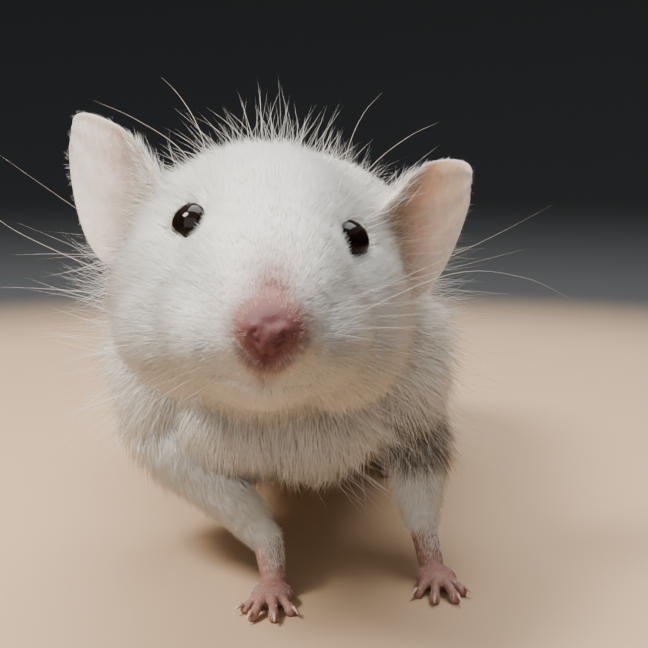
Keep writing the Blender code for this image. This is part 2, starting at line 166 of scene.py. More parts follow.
def gaze_frame(side: Side) -> tuple[Array, Array, Array]:
    """An eye's gaze in the head's axes, with level and upright directions square to it.

    Args:
        side: which eye.
    Returns:
        Three unit vectors.
    """
    gaze = unit(np.array(GAZE)) * side.mirror
    across = unit(np.cross(gaze, (0, 0, 1)))
    return gaze, across, np.cross(across, gaze)


def smooth_step(values: Array, start: float, end: float) -> Array:
    """0 before start, 1 past end, and 3t^2 - 2t^3 between them."""
    t = np.clip((values - start) / (end - start), 0, 1)
    return t * t * (3 - 2 * t)


def bell(values: Array, middle: float, width: float) -> Array:
    """exp(-((values - middle) / width)^2): 1 at the middle, fading to 0 on both sides."""
    return np.exp(-(((values - middle) / width) ** 2))


def from_oval(points: list[Array], centre: Triple, radii: tuple) -> Array:
    """Distance from an oval's centre, as a share of the way to its edge.

    Args:
        points: the coordinates as three arrays.
        centre: the oval's centre.
        radii: its radii, each a number or an array.
    Returns:
        0 at the centre and 1 at the edge.
    """
    shares = [(row - middle) / radius for row, middle, radius in zip(points, centre, radii)]
    return np.linalg.norm(np.stack(shares, -1), axis=1)


def smooth_rows(rows: Array, steps: int) -> Array:
    """Rows of numbers resampled on a Catmull-Rom spline.

    Args:
        rows: one row of numbers per knot.
        steps: how many rows to make for each knot but the last.
    Returns:
        The rows on the spline, the last knot among them.
    """
    rows = np.asarray(rows, float)
    padded = np.vstack([2 * rows[0] - rows[1], rows, 2 * rows[-1] - rows[-2]])
    a, b, c, d = (padded[i : len(rows) - 1 + i, None] for i in range(4))
    t = (np.arange(steps) / steps)[:, None]
    bend = (2 * a - 5 * b + 4 * c - d) * t**2 + (3 * b - a - 3 * c + d) * t**3
    made = 0.5 * (2 * b + (c - a) * t + bend)
    return np.vstack([made.reshape(-1, rows.shape[1]), rows[-1]])


def ring_solid(rings: Array) -> tuple[Array, Array]:
    """A closed solid through rings of points, with a fan of triangles at each end.

    Args:
        rings: points as (row, place round the ring, xyz).
    Returns:
        The points and the triangles, facing outwards.
    """
    rows, columns = rings.shape[:2]
    row, column = (a.ravel() for a in np.meshgrid(np.arange(rows - 1), np.arange(columns), indexing="ij"))
    a, b = row * columns + column, row * columns + (column + 1) % columns
    ring = np.arange(columns)
    after, last = (ring + 1) % columns, (rows - 1) * columns
    first_cap = np.stack([np.full(columns, rows * columns), after, ring], -1)
    last_cap = np.stack([np.full(columns, rows * columns + 1), last + ring, last + after], -1)
    walls = [np.stack([a, b, b + columns], -1), np.stack([a, b + columns, a + columns], -1)]
    points = np.concatenate([rings.reshape(-1, 3), [rings[0].mean(0)], [rings[-1].mean(0)]])
    triangles = np.concatenate([*walls, first_cap, last_cap])
    corners = points[triangles]
    volume = np.einsum("ij,ij->", corners[:, 0], np.cross(corners[:, 1], corners[:, 2]))
    return points, triangles if volume > 0 else triangles[:, ::-1]


def route_rings(route: Array, sides: int, phase: float = 0.0) -> Array:
    """Round rings about a route.

    Each ring is r (cos a * side + sin a * up) about its point of the route. Side is level and up is square to
    it and to the route.

    Args:
        route: rows of x, y, z and radius.
        sides: the number of points in a ring.
        phase: the angle of the first point in radians.
    Returns:
        Rings as (row, place, xyz).
    """
    along = unit(np.gradient(route[:, :3], axis=0))
    side = np.cross(along, (0.0, 0.0, 1.0))
    side = unit(np.where(np.linalg.norm(side, axis=1, keepdims=True) > 0.1, side, (1.0, 0.0, 0.0)))
    up = np.cross(side, along)
    angle = phase + np.linspace(0, TURN, sides, endpoint=False)
    spokes = np.cos(angle)[None, :, None] * side[:, None] + np.sin(angle)[None, :, None] * up[:, None]
    return route[:, None, :3] + route[:, None, 3:] * spokes


@dataclass
class Masses:
    """Closed solids in millimetres, gathered until they are made one."""

    points: list[Array] = field(default_factory=list)
    triangles: list[Array] = field(default_factory=list)
    ball_rows: int = 24
    ball_columns: int = 40
    loft_steps: int = 8
    loft_columns: int = 64
    # The coat on the underside, as a share of its depth elsewhere.
    thinner_below: float = 0.8

    def add(self, points: Array, triangles: Array) -> None:
        """Adds a solid."""
        self.triangles.append(triangles + sum(len(p) for p in self.points))
        self.points.append(points)

    def ball(self, centre: Triple, radii: Triple, in_head: bool = False) -> None:
        """Adds an ellipsoid: radii * (sin p cos a, sin p sin a, cos p) about its centre.

        Args:
            centre: its centre.
            radii: its three radii.
            in_head: whether it is given in the head's axes.
        """
        polar = np.linspace(0, np.pi, self.ball_rows + 2)[1:-1, None]
        around = np.linspace(0, TURN, self.ball_columns, endpoint=False)[None]
        level, height = np.sin(polar), np.broadcast_to(np.cos(polar), (self.ball_rows, self.ball_columns))
        rings = np.stack([level * np.cos(around), level * np.sin(around), height], -1) * radii + centre
        self.add(*ring_solid(HEAD.points(rings) if in_head else rings))

    def tube(self, route: Routed, steps: int = 6, sides: int = 24) -> None:
        """Adds a round tube with a ball at each end.

        Args:
            route: points with the radius at each, on a smooth curve.
            steps: rings between one point and the next.
            sides: points in a ring.
        """
        rows = smooth_rows([(*point, radius) for point, radius in route], steps)
        self.add(*ring_solid(route_rings(rows, sides)))
        for x, y, z, radius in (rows[0], rows[-1]):
            self.ball((x, y, z), (radius,) * 3)

    def loft(self, sections: tuple, in_head: bool = False) -> None:
        """Adds a loft of upright ellipses, drawn in by the coat's depth.

        Args:
            sections: for each ellipse, its distance, half width, top, bottom and the coat's depth.
            in_head: whether it is given in the head's axes.
        """
        distance, width, top, bottom, depth = smooth_rows(sections, self.loft_steps).T[:, :, None]
        width, top, bottom = width - depth, top - depth, bottom + self.thinner_below * depth
        around = np.linspace(0, TURN, self.loft_columns, endpoint=False)[None]
        across = width * np.cos(around)
        height = (top + bottom) / 2 + (top - bottom) / 2 * np.sin(around)
        rings = np.stack([across, np.broadcast_to(distance, across.shape), height], -1)
        self.add(*ring_solid(HEAD.points(rings) if in_head else rings))

    def joined(self) -> tuple[Array, Array]:
        """All the solids' points and triangles."""
        return np.concatenate(self.points), np.concatenate(self.triangles)


def linked(name: str, data: bpy.types.ID) -> bpy.types.Object:
    """A new object in the scene.

    Args:
        name: its name.
        data: its mesh, light or camera.
    Returns:
        The object.
    """
    obj = bpy.data.objects.new(name, data)
    bpy.context.scene.collection.objects.link(obj)
    return obj


def make_mesh(name: str, points: Array, triangles: Array) -> bpy.types.Mesh:
    """A smooth mesh from points in metres.

    Args:
        name: the mesh's name.
        points: its points.
        triangles: its triangles.
    Returns:
        The mesh.
    """
    mesh = bpy.data.meshes.new(name)
    mesh.vertices.add(len(points))
    mesh.vertices.foreach_set("co", np.asarray(points, np.float32).ravel())
    mesh.loops.add(triangles.size)
    mesh.loops.foreach_set("vertex_index", triangles.astype(np.int32).ravel())
    mesh.polygons.add(len(triangles))
    mesh.polygons.foreach_set("loop_start", np.arange(0, triangles.size, 3, dtype=np.int32))
    mesh.polygons.foreach_set("use_smooth", np.ones(len(triangles), bool))
    mesh.update(calc_edges=True)
    return mesh


def make_object(name: str, points: Array, triangles: Array, **values: Array) -> bpy.types.Object:
    """A piece in the CAD frame from points in the mouse's millimetres.

    Args:
        name: the piece's name.
        points: its points.
        triangles: its triangles.
        values: attributes for its material, one number for each point.
    Returns:
        The piece, at the origin and unturned.
    """
    mesh = make_mesh(name, (points + SHIFT) * MM, triangles)
    for key, numbers in values.items():
        mesh.attributes.new(key, "FLOAT", "POINT").data.foreach_set("value", numbers.astype(np.float32))
    return linked(name, mesh)


def dressed(piece: bpy.types.Object, finish: "Finish", slot: Slot, *nodes: str) -> bpy.types.Object:
    """A piece given its material and CAD body, with the CAD nodes that it stands for hidden.

    Args:
        piece: the piece.
        finish: its finish.
        slot: the record's slot; not used.
        nodes: the CAD nodes that it replaces.
    Returns:
        The same piece.
    """
    piece.data.materials.append(finish.material())
    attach(piece, "root")
    if nodes:
        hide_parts(*nodes)
    return piece


def read_mesh(mesh: bpy.types.Mesh) -> tuple[Array, Array]:
    """The points and the triangles of a mesh, as they stand.

    Args:
        mesh: the mesh, with any modifiers already worked.
    Returns:
        The points and the triangles.
    """
    points = np.empty(len(mesh.vertices) * 3, np.float32)
    mesh.vertices.foreach_get("co", points)
    mesh.calc_loop_triangles()
    triangles = np.empty(len(mesh.loop_triangles) * 3, np.int32)
    mesh.loop_triangles.foreach_get("vertices", triangles)
    return points.reshape(-1, 3).astype(float), triangles.reshape(-1, 3)


def facings(points: Array, triangles: Array) -> Array:
    """Each triangle's outward direction, twice its area long."""
    corners = points[triangles]
    return np.cross(corners[:, 1] - corners[:, 0], corners[:, 2] - corners[:, 0])


def point_normals(points: Array, triangles: Array) -> Array:
    """The outward direction at each point: the sum of its triangles' area vectors.

    Args:
        points: a surface's points.
        triangles: its triangles, facing outwards.
    Returns:
        Unit vectors.
    """
    facing = facings(points, triangles)
    sums = [np.bincount(triangles.ravel(), np.repeat(facing[:, i], 3), len(points)) for i in range(3)]
    return unit(np.stack(sums, -1))


def modified(points: Array, triangles: Array, modifiers: list[tuple[str, dict]]) -> tuple[Array, Array]:
    """Points and triangles after modifiers.

    Args:
        points: the points, in any unit.
        triangles: the triangles.
        modifiers: each modifier's kind and settings, in the points' unit.
    Returns:
        The new points and triangles.
    """
    obj = linked("work", make_mesh("work", points, triangles))
    for kind, settings in modifiers:
        modifier = obj.modifiers.new(kind.lower(), kind)
        for key, value in settings.items():
            setattr(modifier, key, value)
    bpy.context.view_layer.update()
    made = read_mesh(obj.evaluated_get(bpy.context.evaluated_depsgraph_get()).to_mesh())
    bpy.data.objects.remove(obj)
    return made


@dataclass(frozen=True)
class FineGrid:
    """A stretch of space that makes one even voxel grid finer at the muzzle than at the rump.

    Everything is enlarged by a number that changes along the body, about a level line.
    """

    places: tuple = (-15.0, -9.0, -5.0, 0.0, 8.0, 16.0, 26.0, 75.0)
    enlarged: tuple = (3.0, 2.7, 2.1, 1.8, 1.5, 1.25, 1.0, 0.9)
    middle_height: float = 16.0
    table_from: float = -30.0
    table_to: float = 90.0
    table_step: float = 0.02

    def tables(self) -> tuple[Array, Array, Array]:
        """Places along the body, the enlargement there, and where each place lies once stretched.

        Returns:
            The three as arrays.
        """
        y = np.arange(self.table_from, self.table_to, self.table_step)
        grow = np.interp(y, self.places, self.enlarged)
        return y, grow, np.cumsum(grow) * self.table_step

    def stretched(self, points: Array) -> Array:
        """Points in the stretched space.

        Args:
            points: points in millimetres.
        Returns:
            Their places, each enlarged by the number for its distance along the body.
        """
        y, grow, moved = self.tables()
        by = np.interp(points[:, 1], y, grow)
        height = (points[:, 2] - self.middle_height) * by
        return np.stack([points[:, 0] * by, np.interp(points[:, 1], y, moved), height], -1)

    def restored(self, points: Array) -> Array:
        """Points of the stretched space, back in their place.

        Args:
            points: points of the stretched space.
        Returns:
            The points in millimetres.
        """
        y, grow, moved = self.tables()
        place = np.interp(points[:, 1], moved, y)
        by = np.interp(place, y, grow)
        return np.stack([points[:, 0] / by, place, points[:, 2] / by + self.middle_height], -1)

    def fused(self, masses: Masses, voxel: float, smoothing: int) -> tuple[Array, Array]:
        """Overlapping solids made one even skin.

        Args:
            masses: the solids.
            voxel: the grid's step in the stretched space.
            smoothing: rounds of smoothing, which soften where the solids meet.
        Returns:
            The skin's points and triangles.
        """
        points, triangles = masses.joined()
        grid = {"mode": "VOXEL", "voxel_size": voxel}
        relax = {"factor": 0.5, "iterations": smoothing}
        made = modified(self.stretched(points), triangles, [("REMESH", grid), ("SMOOTH", relax)])
        return self.restored(made[0]), made[1]


class EvenGrid(FineGrid):
    """A grid of one step everywhere."""

    def stretched(self, points: Array) -> Array:
        """The points as they are."""
        return points

    def restored(self, points: Array) -> Array:
        """The points as they are."""
        return points


# ---- Finishes ----


def linear(colour: str) -> tuple[float, float, float, float]:
    """An sRGB hex colour as linear RGBA."""
    parts = [int(colour[i : i + 2], 16) / 255 for i in (1, 3, 5)]
    return (*[p / 12.92 if p <= 0.04045 else ((p + 0.055) / 1.055) ** 2.4 for p in parts], 1.0)


# A colour Mix node's inputs and its result, by number.
AMOUNT, UNDER, OVER = 0, 6, 7
MIXED = 2


def feed(tree: bpy.types.NodeTree, node: bpy.types.Node, values: dict) -> None:
    """Sets or links a node's inputs.

    Args:
        tree: the material's nodes.
        node: the node.
        values: for each input, by name or number, a value or the output socket that feeds it.
    """
    for key, value in values.items():
        if isinstance(value, bpy.types.NodeSocket):
            tree.links.new(value, node.inputs[key])
        else:
            node.inputs[key].default_value = value


def add_node(
    tree: bpy.types.NodeTree, kind: str, values: dict | None = None, **settings: object
) -> bpy.types.Node:
    """Adds a node with its settings and links.

    Args:
        tree: the material's nodes.
        kind: the node's type.
        values: for each input, by name or number, a value or the output socket that feeds it.
        settings: the node's own properties.
    Returns:
        The new node.
    """
    node = tree.nodes.new(kind)
    for key, value in settings.items():
        setattr(node, key, value)
    feed(tree, node, values or {})
    return node


@dataclass(frozen=True)
class Finish:
    """A material. Each kind says in nodes() what feeds its one Principled shader."""

    name: str
    roughness: float = 0.5
    ior: float = 1.5

    def nodes(self, tree: bpy.types.NodeTree) -> dict:
        """The shader's inputs, by name, as values or output sockets."""
        raise NotImplementedError

    def material(self) -> bpy.types.Material:
        """The material, made once.

        Returns:
            The material under this finish's name.
        """
        made = bpy.data.materials.get(self.name)
        if made is None:
            made = bpy.data.materials.new(self.name)
            made.use_nodes = True
            tree = made.node_tree
            values = {"Roughness": self.roughness, "IOR": self.ior, **self.nodes(tree)}
            feed(tree, tree.nodes["Principled BSDF"], values)
        return made


@dataclass(frozen=True)
class FurFinish(Finish):
    """Unpigmented mouse hair: air-filled keratin, which looks white. Towards the root it is painted a little
    darker and warmer: painted shade where the hairs shade each other.

    The grey-brown hairs of the shoulder patch carry pigment all along.
    """

    white: str = "#FAF9F5"
    cream: str = "#F5F1E8"
    # The root's colour is painted shade, where hairs shade each other near the skin.
    root: str = "#EBE2D7"
    blush: str = "#965F59"
    grey: str = "#8E8377"
    dark_grey: str = "#70665A"
    # How far up the hair the painted shade at the root reaches, and how strong it is at the skin.
    root_shade_reach: float = 0.45
    root_shade_share: float = 0.75

    def nodes(self, tree: bpy.types.NodeTree) -> dict:
        """Colour by the hair's own tone, painted shade towards the root, the skin's blush through thin fur,
        and the grey patch.

        Args:
            tree: the material's nodes.
        Returns:
            The shader's inputs.
        """
        tone, along, pink, patch = (
            add_node(tree, "ShaderNodeAttribute", attribute_name=name).outputs["Fac"]
            for name in ("tone", "along", "blush", "grey_patch")
        )
        # Painted shade: the hair darkens towards its root, where the hairs shade each other.
        painted_root_shade = {"Value": along, "From Max": self.root_shade_reach, "To Min": self.root_shade_share, "To Max": 0.0}
        painted_root_shade = add_node(tree, "ShaderNodeMapRange", painted_root_shade).outputs[0]
        pigmented = {AMOUNT: tone, UNDER: linear(self.grey), OVER: linear(self.dark_grey)}
        pigmented = add_node(tree, "ShaderNodeMix", pigmented, data_type="RGBA").outputs[MIXED]
        hair = linear(self.white)
        for amount, colour in (
            (tone, linear(self.cream)),
            (painted_root_shade, linear(self.root)),
            (pink, linear(self.blush)),
            (patch, pigmented),
        ):
            over = {AMOUNT: amount, UNDER: hair, OVER: colour}
            hair = add_node(tree, "ShaderNodeMix", over, data_type="RGBA").outputs[MIXED]
        return {"Base Color": hair}


@dataclass(frozen=True)
class SkinFinish(Finish):
    """Living skin of a mouse: thin, soft and a little damp, so light goes in and comes out pink.

    It is pale under the fur, pink and finely creased on feet, tail and nose, and beige-pink on the ears, with
    painted shade darkening them towards their roots, deep in the cup.
    """

    pale: str = "#F1EAE1"
    pink: str = "#8C6257"
    rosy: str = "#5F3335"
    ear: str = "#E6DAD1"
    ear_shade: str = "#927B6D"
    grey: str = "#8F8478"
    mottle: str = "#B5766C"

    def nodes(self, tree: bpy.types.NodeTree) -> dict:
        """Colour from the skin's own markings and the ears' painted shade, mottled at 0.7 mm, with a bump of
        creases at 0.12 mm.

        Where fur covers it, flat underfur is a bump too: streaks 0.1 mm wide and 1 mm long.

        Args:
            tree: the material's nodes.
        Returns:
            The shader's inputs.
        """
        place = add_node(tree, "ShaderNodeTexCoord").outputs["Object"]
        pink, ear, ear_depth, rosy, patch, furred = (
            add_node(tree, "ShaderNodeAttribute", attribute_name=name).outputs["Fac"]
            for name in ("pink", "ear", "ear_depth", "rosy", "grey_patch", "furred")
        )
        mottle = {"Vector": place, "Scale": 1400.0, "Detail": 3.0}
        mottle = add_node(tree, "ShaderNodeTexNoise", mottle).outputs[0]
        fine = {"Vector": place, "Scale": 8000.0, "Detail": 2.0}
        fine = add_node(tree, "ShaderNodeTexNoise", fine).outputs[0]
        # Painted shade: the ear's colour darkens towards its root, deep in the cup.
        leaf = {AMOUNT: ear_depth, UNDER: linear(self.ear), OVER: linear(self.ear_shade)}
        leaf = add_node(tree, "ShaderNodeMix", leaf, data_type="RGBA").outputs[MIXED]
        colour = linear(self.pale)
        for amount, laid in (
            (pink, linear(self.pink)),
            (ear, leaf),
            (rosy, linear(self.rosy)),
            (patch, linear(self.grey)),
        ):
            over = {AMOUNT: amount, UNDER: colour, OVER: laid}
            colour = add_node(tree, "ShaderNodeMix", over, data_type="RGBA").outputs[MIXED]
        spots = {"Value": mottle, "From Min": 0.35, "From Max": 0.7, "To Max": 0.22}
        spots = add_node(tree, "ShaderNodeMapRange", spots).outputs[0]
        over = {AMOUNT: spots, UNDER: colour, OVER: linear(self.mottle)}
        colour = add_node(tree, "ShaderNodeMix", over, data_type="RGBA", blend_type="MULTIPLY").outputs[MIXED]
        creases = add_node(tree, "ShaderNodeBump", {"Height": fine, "Strength": 0.25, "Distance": 0.00012})
        lengthwise = {"Vector": place, "Scale": (10000.0, 1000.0, 10000.0)}
        lengthwise = add_node(tree, "ShaderNodeMapping", lengthwise).outputs[0]
        streak = {"Vector": lengthwise, "Scale": 1.0, "Detail": 2.0}
        streak = add_node(tree, "ShaderNodeTexNoise", streak).outputs[0]
        underfur = {"Height": streak, "Strength": furred, "Distance": 0.00015, "Normal": creases.outputs[0]}
        thin = {"Value": ear, "To Min": 0.35, "To Max": 0.9}
        return {
            "Base Color": colour,
            "Normal": add_node(tree, "ShaderNodeBump", underfur).outputs["Normal"],
            "Subsurface Weight": add_node(tree, "ShaderNodeMapRange", thin).outputs[0],
            "Subsurface Radius": (1.0, 0.8, 0.7),
            "Subsurface Scale": 0.0009,
        }


@dataclass(frozen=True)
class EyeFinish(Finish):
    """A mouse's eye: a clear wet cornea over an iris so dark that it reads as black."""

    black: str = "#0A0706"
    brown: str = "#1C110C"

    def nodes(self, tree: bpy.types.NodeTree) -> dict:
        """Near black, very slightly brown in patches of 0.5 mm, with a wet film over it.

        Args:
            tree: the material's nodes.
        Returns:
            The shader's inputs.
        """
        place = add_node(tree, "ShaderNodeTexCoord").outputs["Object"]
        cloud = {"Vector": place, "Scale": 2000.0, "Detail": 2.0}
        cloud = add_node(tree, "ShaderNodeTexNoise", cloud).outputs[0]
        iris = {AMOUNT: cloud, UNDER: linear(self.black), OVER: linear(self.brown)}
        iris = add_node(tree, "ShaderNodeMix", iris, data_type="RGBA").outputs[MIXED]
        return {"Base Color": iris, "Specular IOR Level": 0.36}


@dataclass(frozen=True)
class HornFinish(Finish):
    """Keratin: a claw or a whisker, smooth, slightly see-through and paler towards its tip."""

    root: str = "#A97B6C"
    tip: str = "#C9B5A6"

    def nodes(self, tree: bpy.types.NodeTree) -> dict:
        """Colour from root to tip, with lengthwise streaks of 0.1 mm.

        Args:
            tree: the material's nodes.
        Returns:
            The shader's inputs.
        """
        place = add_node(tree, "ShaderNodeTexCoord").outputs["Object"]
        streak = {"Vector": place, "Scale": 10000.0, "Detail": 1.0}
        streak = add_node(tree, "ShaderNodeTexNoise", streak).outputs[0]
        along = add_node(tree, "ShaderNodeAttribute", attribute_name="along").outputs["Fac"]
        horn = {AMOUNT: along, UNDER: linear(self.root), OVER: linear(self.tip)}
        horn = add_node(tree, "ShaderNodeMix", horn, data_type="RGBA").outputs[MIXED]
        bump = add_node(tree, "ShaderNodeBump", {"Height": streak, "Strength": 0.15, "Distance": 0.00005})
        return {"Base Color": horn, "Normal": bump.outputs["Normal"]}


@dataclass(frozen=True)
class SweepFinish(Finish):
    """Painted studio sweep: pale and matt under the mouse, mid grey up the wall."""

    floor: str = "#B79A7C"
    wall: str = "#3E4042"
    pale_to: float = 0.07
    grey_from: float = 0.15

    def nodes(self, tree: bpy.types.NodeTree) -> dict:
        """Colour by distance from the middle, with a faint grain of 3 mm.

        Args:
            tree: the material's nodes.
        Returns:
            The shader's inputs.
        """
        place = add_node(tree, "ShaderNodeTexCoord").outputs["Object"]
        far = add_node(tree, "ShaderNodeVectorMath", {0: place}, operation="LENGTH").outputs["Value"]
        away = {"Value": far, "From Min": self.pale_to, "From Max": self.grey_from}
        away = add_node(tree, "ShaderNodeMapRange", away, interpolation_type="SMOOTHSTEP").outputs[0]
        grain = {"Vector": place, "Scale": 300.0, "Detail": 3.0}
        grain = add_node(tree, "ShaderNodeTexNoise", grain).outputs[0]
        bump = add_node(tree, "ShaderNodeBump", {"Height": grain, "Strength": 0.05, "Distance": 0.0003})
        paint = {AMOUNT: away, UNDER: linear(self.floor), OVER: linear(self.wall)}
        paint = add_node(tree, "ShaderNodeMix", paint, data_type="RGBA").outputs[MIXED]
        return {"Base Color": paint, "Normal": bump.outputs[0]}


FUR = FurFinish("white_mouse_fur", roughness=0.62, ior=1.55)
SKIN = SkinFinish("mouse_skin_living", roughness=0.58, ior=1.4)
CORNEA = EyeFinish("eye_wet_cornea", roughness=0.06, ior=1.376)
CLAW_HORN = HornFinish("claw_keratin", roughness=0.35, ior=1.54)
WHISKER_HORN = HornFinish("whisker_keratin", roughness=0.3, ior=1.54, root="#B5A99C", tip="#D9D2C8")
SWEEP = SweepFinish("painted_sweep", roughness=0.9)


def grey_patch(points: Array) -> Array:
    """The grey patch on the left shoulder and upper foreleg: an oval whose edge is uneven by two sines.

    Args:
        points: points in the mouse's axes.
    Returns:
        1 inside the patch, 0 outside.
    """
    x, y, z = points.T
    ripple = 0.12 * np.sin(z * 1.7 + y) + 0.10 * np.sin(y * 2.3)
    return 1 - smooth_step(from_oval([x, y, z], (10.5, 13.0, 10.6), (3.9, 5.2, 2.5)) + ripple, 0.60, 1.10)


def blush(points: Array) -> Array:
    """How pink the skin is round the nose and up its bridge.

    Args:
        points: points in the mouse's axes.
    Returns:
        1 at the pad, fading to 0 by distance from it.
    """
    side, ahead, up = HEAD.local(points).T
    width = np.clip(2.45 + 0.65 * (up + 3.0), 0.8, 2.4)
    pad = from_oval([side, ahead, up], (0.0, 12.6, -2.9), (width, 3.3, 2.8))
    bridge = bell(side, 0.0, 1.7) * smooth_step(ahead, 6.5, 12.2) * smooth_step(up, -5.5, -3.0)
    return np.clip(1.25 * np.maximum(1 - smooth_step(pad, 0.35, 1.5), bridge), 0, 1)


# ---- Skin ----


@dataclass
class Surface:
    """A closed surface in the mouse's millimetres."""

    points: Array
    triangles: Array

    def normals(self) -> Array:
        """The outward direction at each point."""
        return point_normals(self.points, self.triangles)


@dataclass
class Body:
    """Head, neck, trunk and legs under the coat."""

    # Distance behind the eyes, half width, top, bottom, and the coat's depth there.
    trunk: tuple = (
        (5.0, 8.4, 27.5, 15.0, 1.6),
        (9.0, 9.6, 29.2, 11.6, 1.8),
        (14.0, 10.6, 29.8, 8.6, 1.7),
        (20.0, 11.6, 30.4, 7.4, 1.4),
        (28.0, 12.6, 31.2, 6.6, 1.25),
        (38.0, 13.9, 32.3, 5.8, 0.9),
        (48.0, 14.7, 32.3, 5.4, 0.65),
        (56.0, 13.9, 30.6, 6.0, 0.5),
        (62.0, 11.4, 26.6, 7.6, 0.45),
        (66.5, 7.8, 22.2, 9.4, 0.45),
        (69.0, 3.9, 18.2, 11.4, 0.45),
    )
    # Distance ahead of the eyes, half width, top and bottom above the eyes, and the coat's depth.
    snout: tuple = (
        (-13.0, 7.6, 3.8, -9.0, 1.6),
        (-9.0, 8.0, 4.8, -9.6, 1.5),
        (-4.0, 7.3, 5.0, -9.6, 1.0),
        (0.0, 6.2, 4.3, -9.3, 0.7),
        (4.0, 5.7, 2.9, -8.9, 0.45),
        (8.0, 4.7, 0.9, -8.1, 0.35),
        (11.0, 3.3, -0.9, -6.8, 0.2),
        (13.0, 1.9, -1.9, -5.2, 0.12),
    )
    # Centre (side, ahead, up) and radii of the head's masses under the coat.
    head_masses: tuple = (
        ((4.7, -2.5, -5.2), (4.6, 6.9, 5.2)),
        ((3.1, 6.2, -4.7), (3.1, 5.0, 3.1)),
        ((0.0, 2.7, -7.2), (4.0, 7.3, 2.3)),
        ((4.9, 1.8, -6.2), (3.9, 6.0, 3.6)),
        ((4.9, 1.0, -3.5), (2.7, 4.8, 2.5)),
        ((5.2, -5.2, -0.8), (2.3, 2.9, 2.5)),
        ((0.0, 8.0, -6.2), (3.2, 4.2, 2.3)),
        ((0.0, -7.0, -8.0), (6.4, 6.6, 3.7)),
    )
    # Centre (side, behind, height) and radii of the left side's masses under the coat.
    body_masses: tuple = (
        ((9.0, 17.5, 14.6), (3.2, 4.8, 6.0)),
        ((2.1, 12.6, 12.4), (4.7, 4.3, 4.3)),
        ((9.8, 50.5, 14.0), (4.5, 9.8, 8.1)),
        ((2.0, 11.5, 23.7), (6.0, 8.6, 4.9)),
    )
    # Leg routes from body to wrist or ankle, with radii under the coat.
    right_foreleg: tuple = (
        ((-9.6, 18.0, 11.8), 2.8),
        ((-8.4, 15.0, 9.9), 2.4),
        ((-4.1, 10.4, 7.0), 1.7),
        ((-0.9, 7.8, 4.1), 1.12),
    )
    left_foreleg: tuple = (
        ((9.6, 18.0, 11.8), 2.8),
        ((10.5, 16.4, 9.6), 2.3),
        ((10.7, 13.6, 6.6), 1.6),
        ((10.9, 11.2, 4.0), 1.12),
    )
    left_hindleg: tuple = (
        ((9.6, 49.0, 14.0), 4.6),
        ((10.4, 42.5, 9.0), 3.0),
        ((10.2, 50.0, 6.2), 2.2),
        ((9.8, 55.6, 4.3), 1.5),
    )
    # Centre (side, ahead, up) and radii of the left half of the nose pad, the upper lip and the pad's middle.
    muzzle_details: tuple = (
        ((0.66, 12.75, -3.0), (0.78, 0.85, 0.8)),
        ((0.8, 11.2, -4.6), (1.1, 1.4, 1.1)),
    )
    pad_middle: tuple = ((0.0, 13.0, -3.35), (0.8, 0.8, 0.95))
    # Each eyelid's distance from the eye's centre, half opening, slant and thickness.
    lid_reach: float = 1.6
    lid_angle: float = 70.0
    lid_narrowing: float = 0.52
    lid_slant: float = 30.0
    lid_radius: float = 0.15
    voxel: float = 0.46
    head_voxel: float = 0.66
    # Rounds of smoothing: where the head's masses meet, where the flesh meets, and round the details.
    head_softening: int = 90
    softening: int = 28
    detail_softening: int = 3
    # How deep each hollow is pressed into the skin.
    nostril_depth: float = 0.22
    cleft_depth: float = 0.20
    mouth_depth: float = 0.10
    socket_depth: float = 0.5
    wrinkle_depth: float = 0.03

    def head(self) -> Masses:
        """The head's masses as overlapping solids.

        Returns:
            The solids.
        """
        flesh = Masses()
        flesh.loft(self.snout, in_head=True)
        for (side, ahead, up), radii in self.head_masses:
            for sign in (1,) if side == 0 else (-1, 1):
                flesh.ball((sign * side, ahead, up), radii, in_head=True)
        return flesh

    def masses(self, head: tuple[Array, Array]) -> Masses:
        """The softened head, the snout's own crisp form and the rest of the flesh as overlapping solids.

        Args:
            head: the softened head's points and triangles.
        Returns:
            The solids.
        """
        flesh = Masses()
        flesh.add(*head)
        flesh.loft(self.trunk)
        flesh.loft(self.snout[3:], in_head=True)
        for side in Side:
            for (x, y, z), radii in self.body_masses:
                flesh.ball((side.value * x, y, z), radii)
            flesh.tube([((side.value * x, y, z), radius) for (x, y, z), radius in self.left_hindleg])
        flesh.tube(self.right_foreleg)
        flesh.tube(self.left_foreleg)
        return flesh

    def lid(self, side: Side) -> Array:
        """One eyelid's rim: a round tube on a slanting oval about the direction of gaze.

        Args:
            side: which eye.
        Returns:
            Rings as (row, place, xyz).
        """
        gaze, across, above = gaze_frame(side)
        angle = np.linspace(0, TURN, 72, endpoint=False)[:, None]
        slant = math.radians(self.lid_slant) * side.value
        narrow = np.sqrt(np.sin(angle - slant) ** 2 + (np.cos(angle - slant) * self.lid_narrowing) ** 2)
        opening = math.radians(self.lid_angle) * narrow
        spoke = np.cos(angle) * across + np.sin(angle) * above
        centre = np.array(EYE_CENTRE) * side.mirror
        middle = centre + self.lid_reach * (np.cos(opening) * gaze + np.sin(opening) * spoke)
        around = np.linspace(0, TURN, 12, endpoint=False)[None, :, None]
        outward = unit(middle - centre)[:, None]
        level = np.cross(unit(np.roll(middle, -1, 0) - middle), outward[:, 0])[:, None]
        rings = middle[:, None] + self.lid_radius * (np.cos(around) * outward + np.sin(around) * level)
        return HEAD.points(np.concatenate([rings, rings[:1]]))

    def details(self, points: Array, triangles: Array) -> Masses:
        """The smoothed flesh with eyelids, nose pad and lips added as crisp solids.

        Args:
            points: the flesh's points.
            triangles: its triangles.
        Returns:
            The solids.
        """
        whole = Masses()
        whole.add(points, triangles)
        for side in Side:
            whole.add(*ring_solid(self.lid(side)))
            for (x, ahead, up), radii in self.muzzle_details:
                whole.ball((side.value * x, ahead, up), radii, in_head=True)
        whole.ball(*self.pad_middle, in_head=True)
        return whole

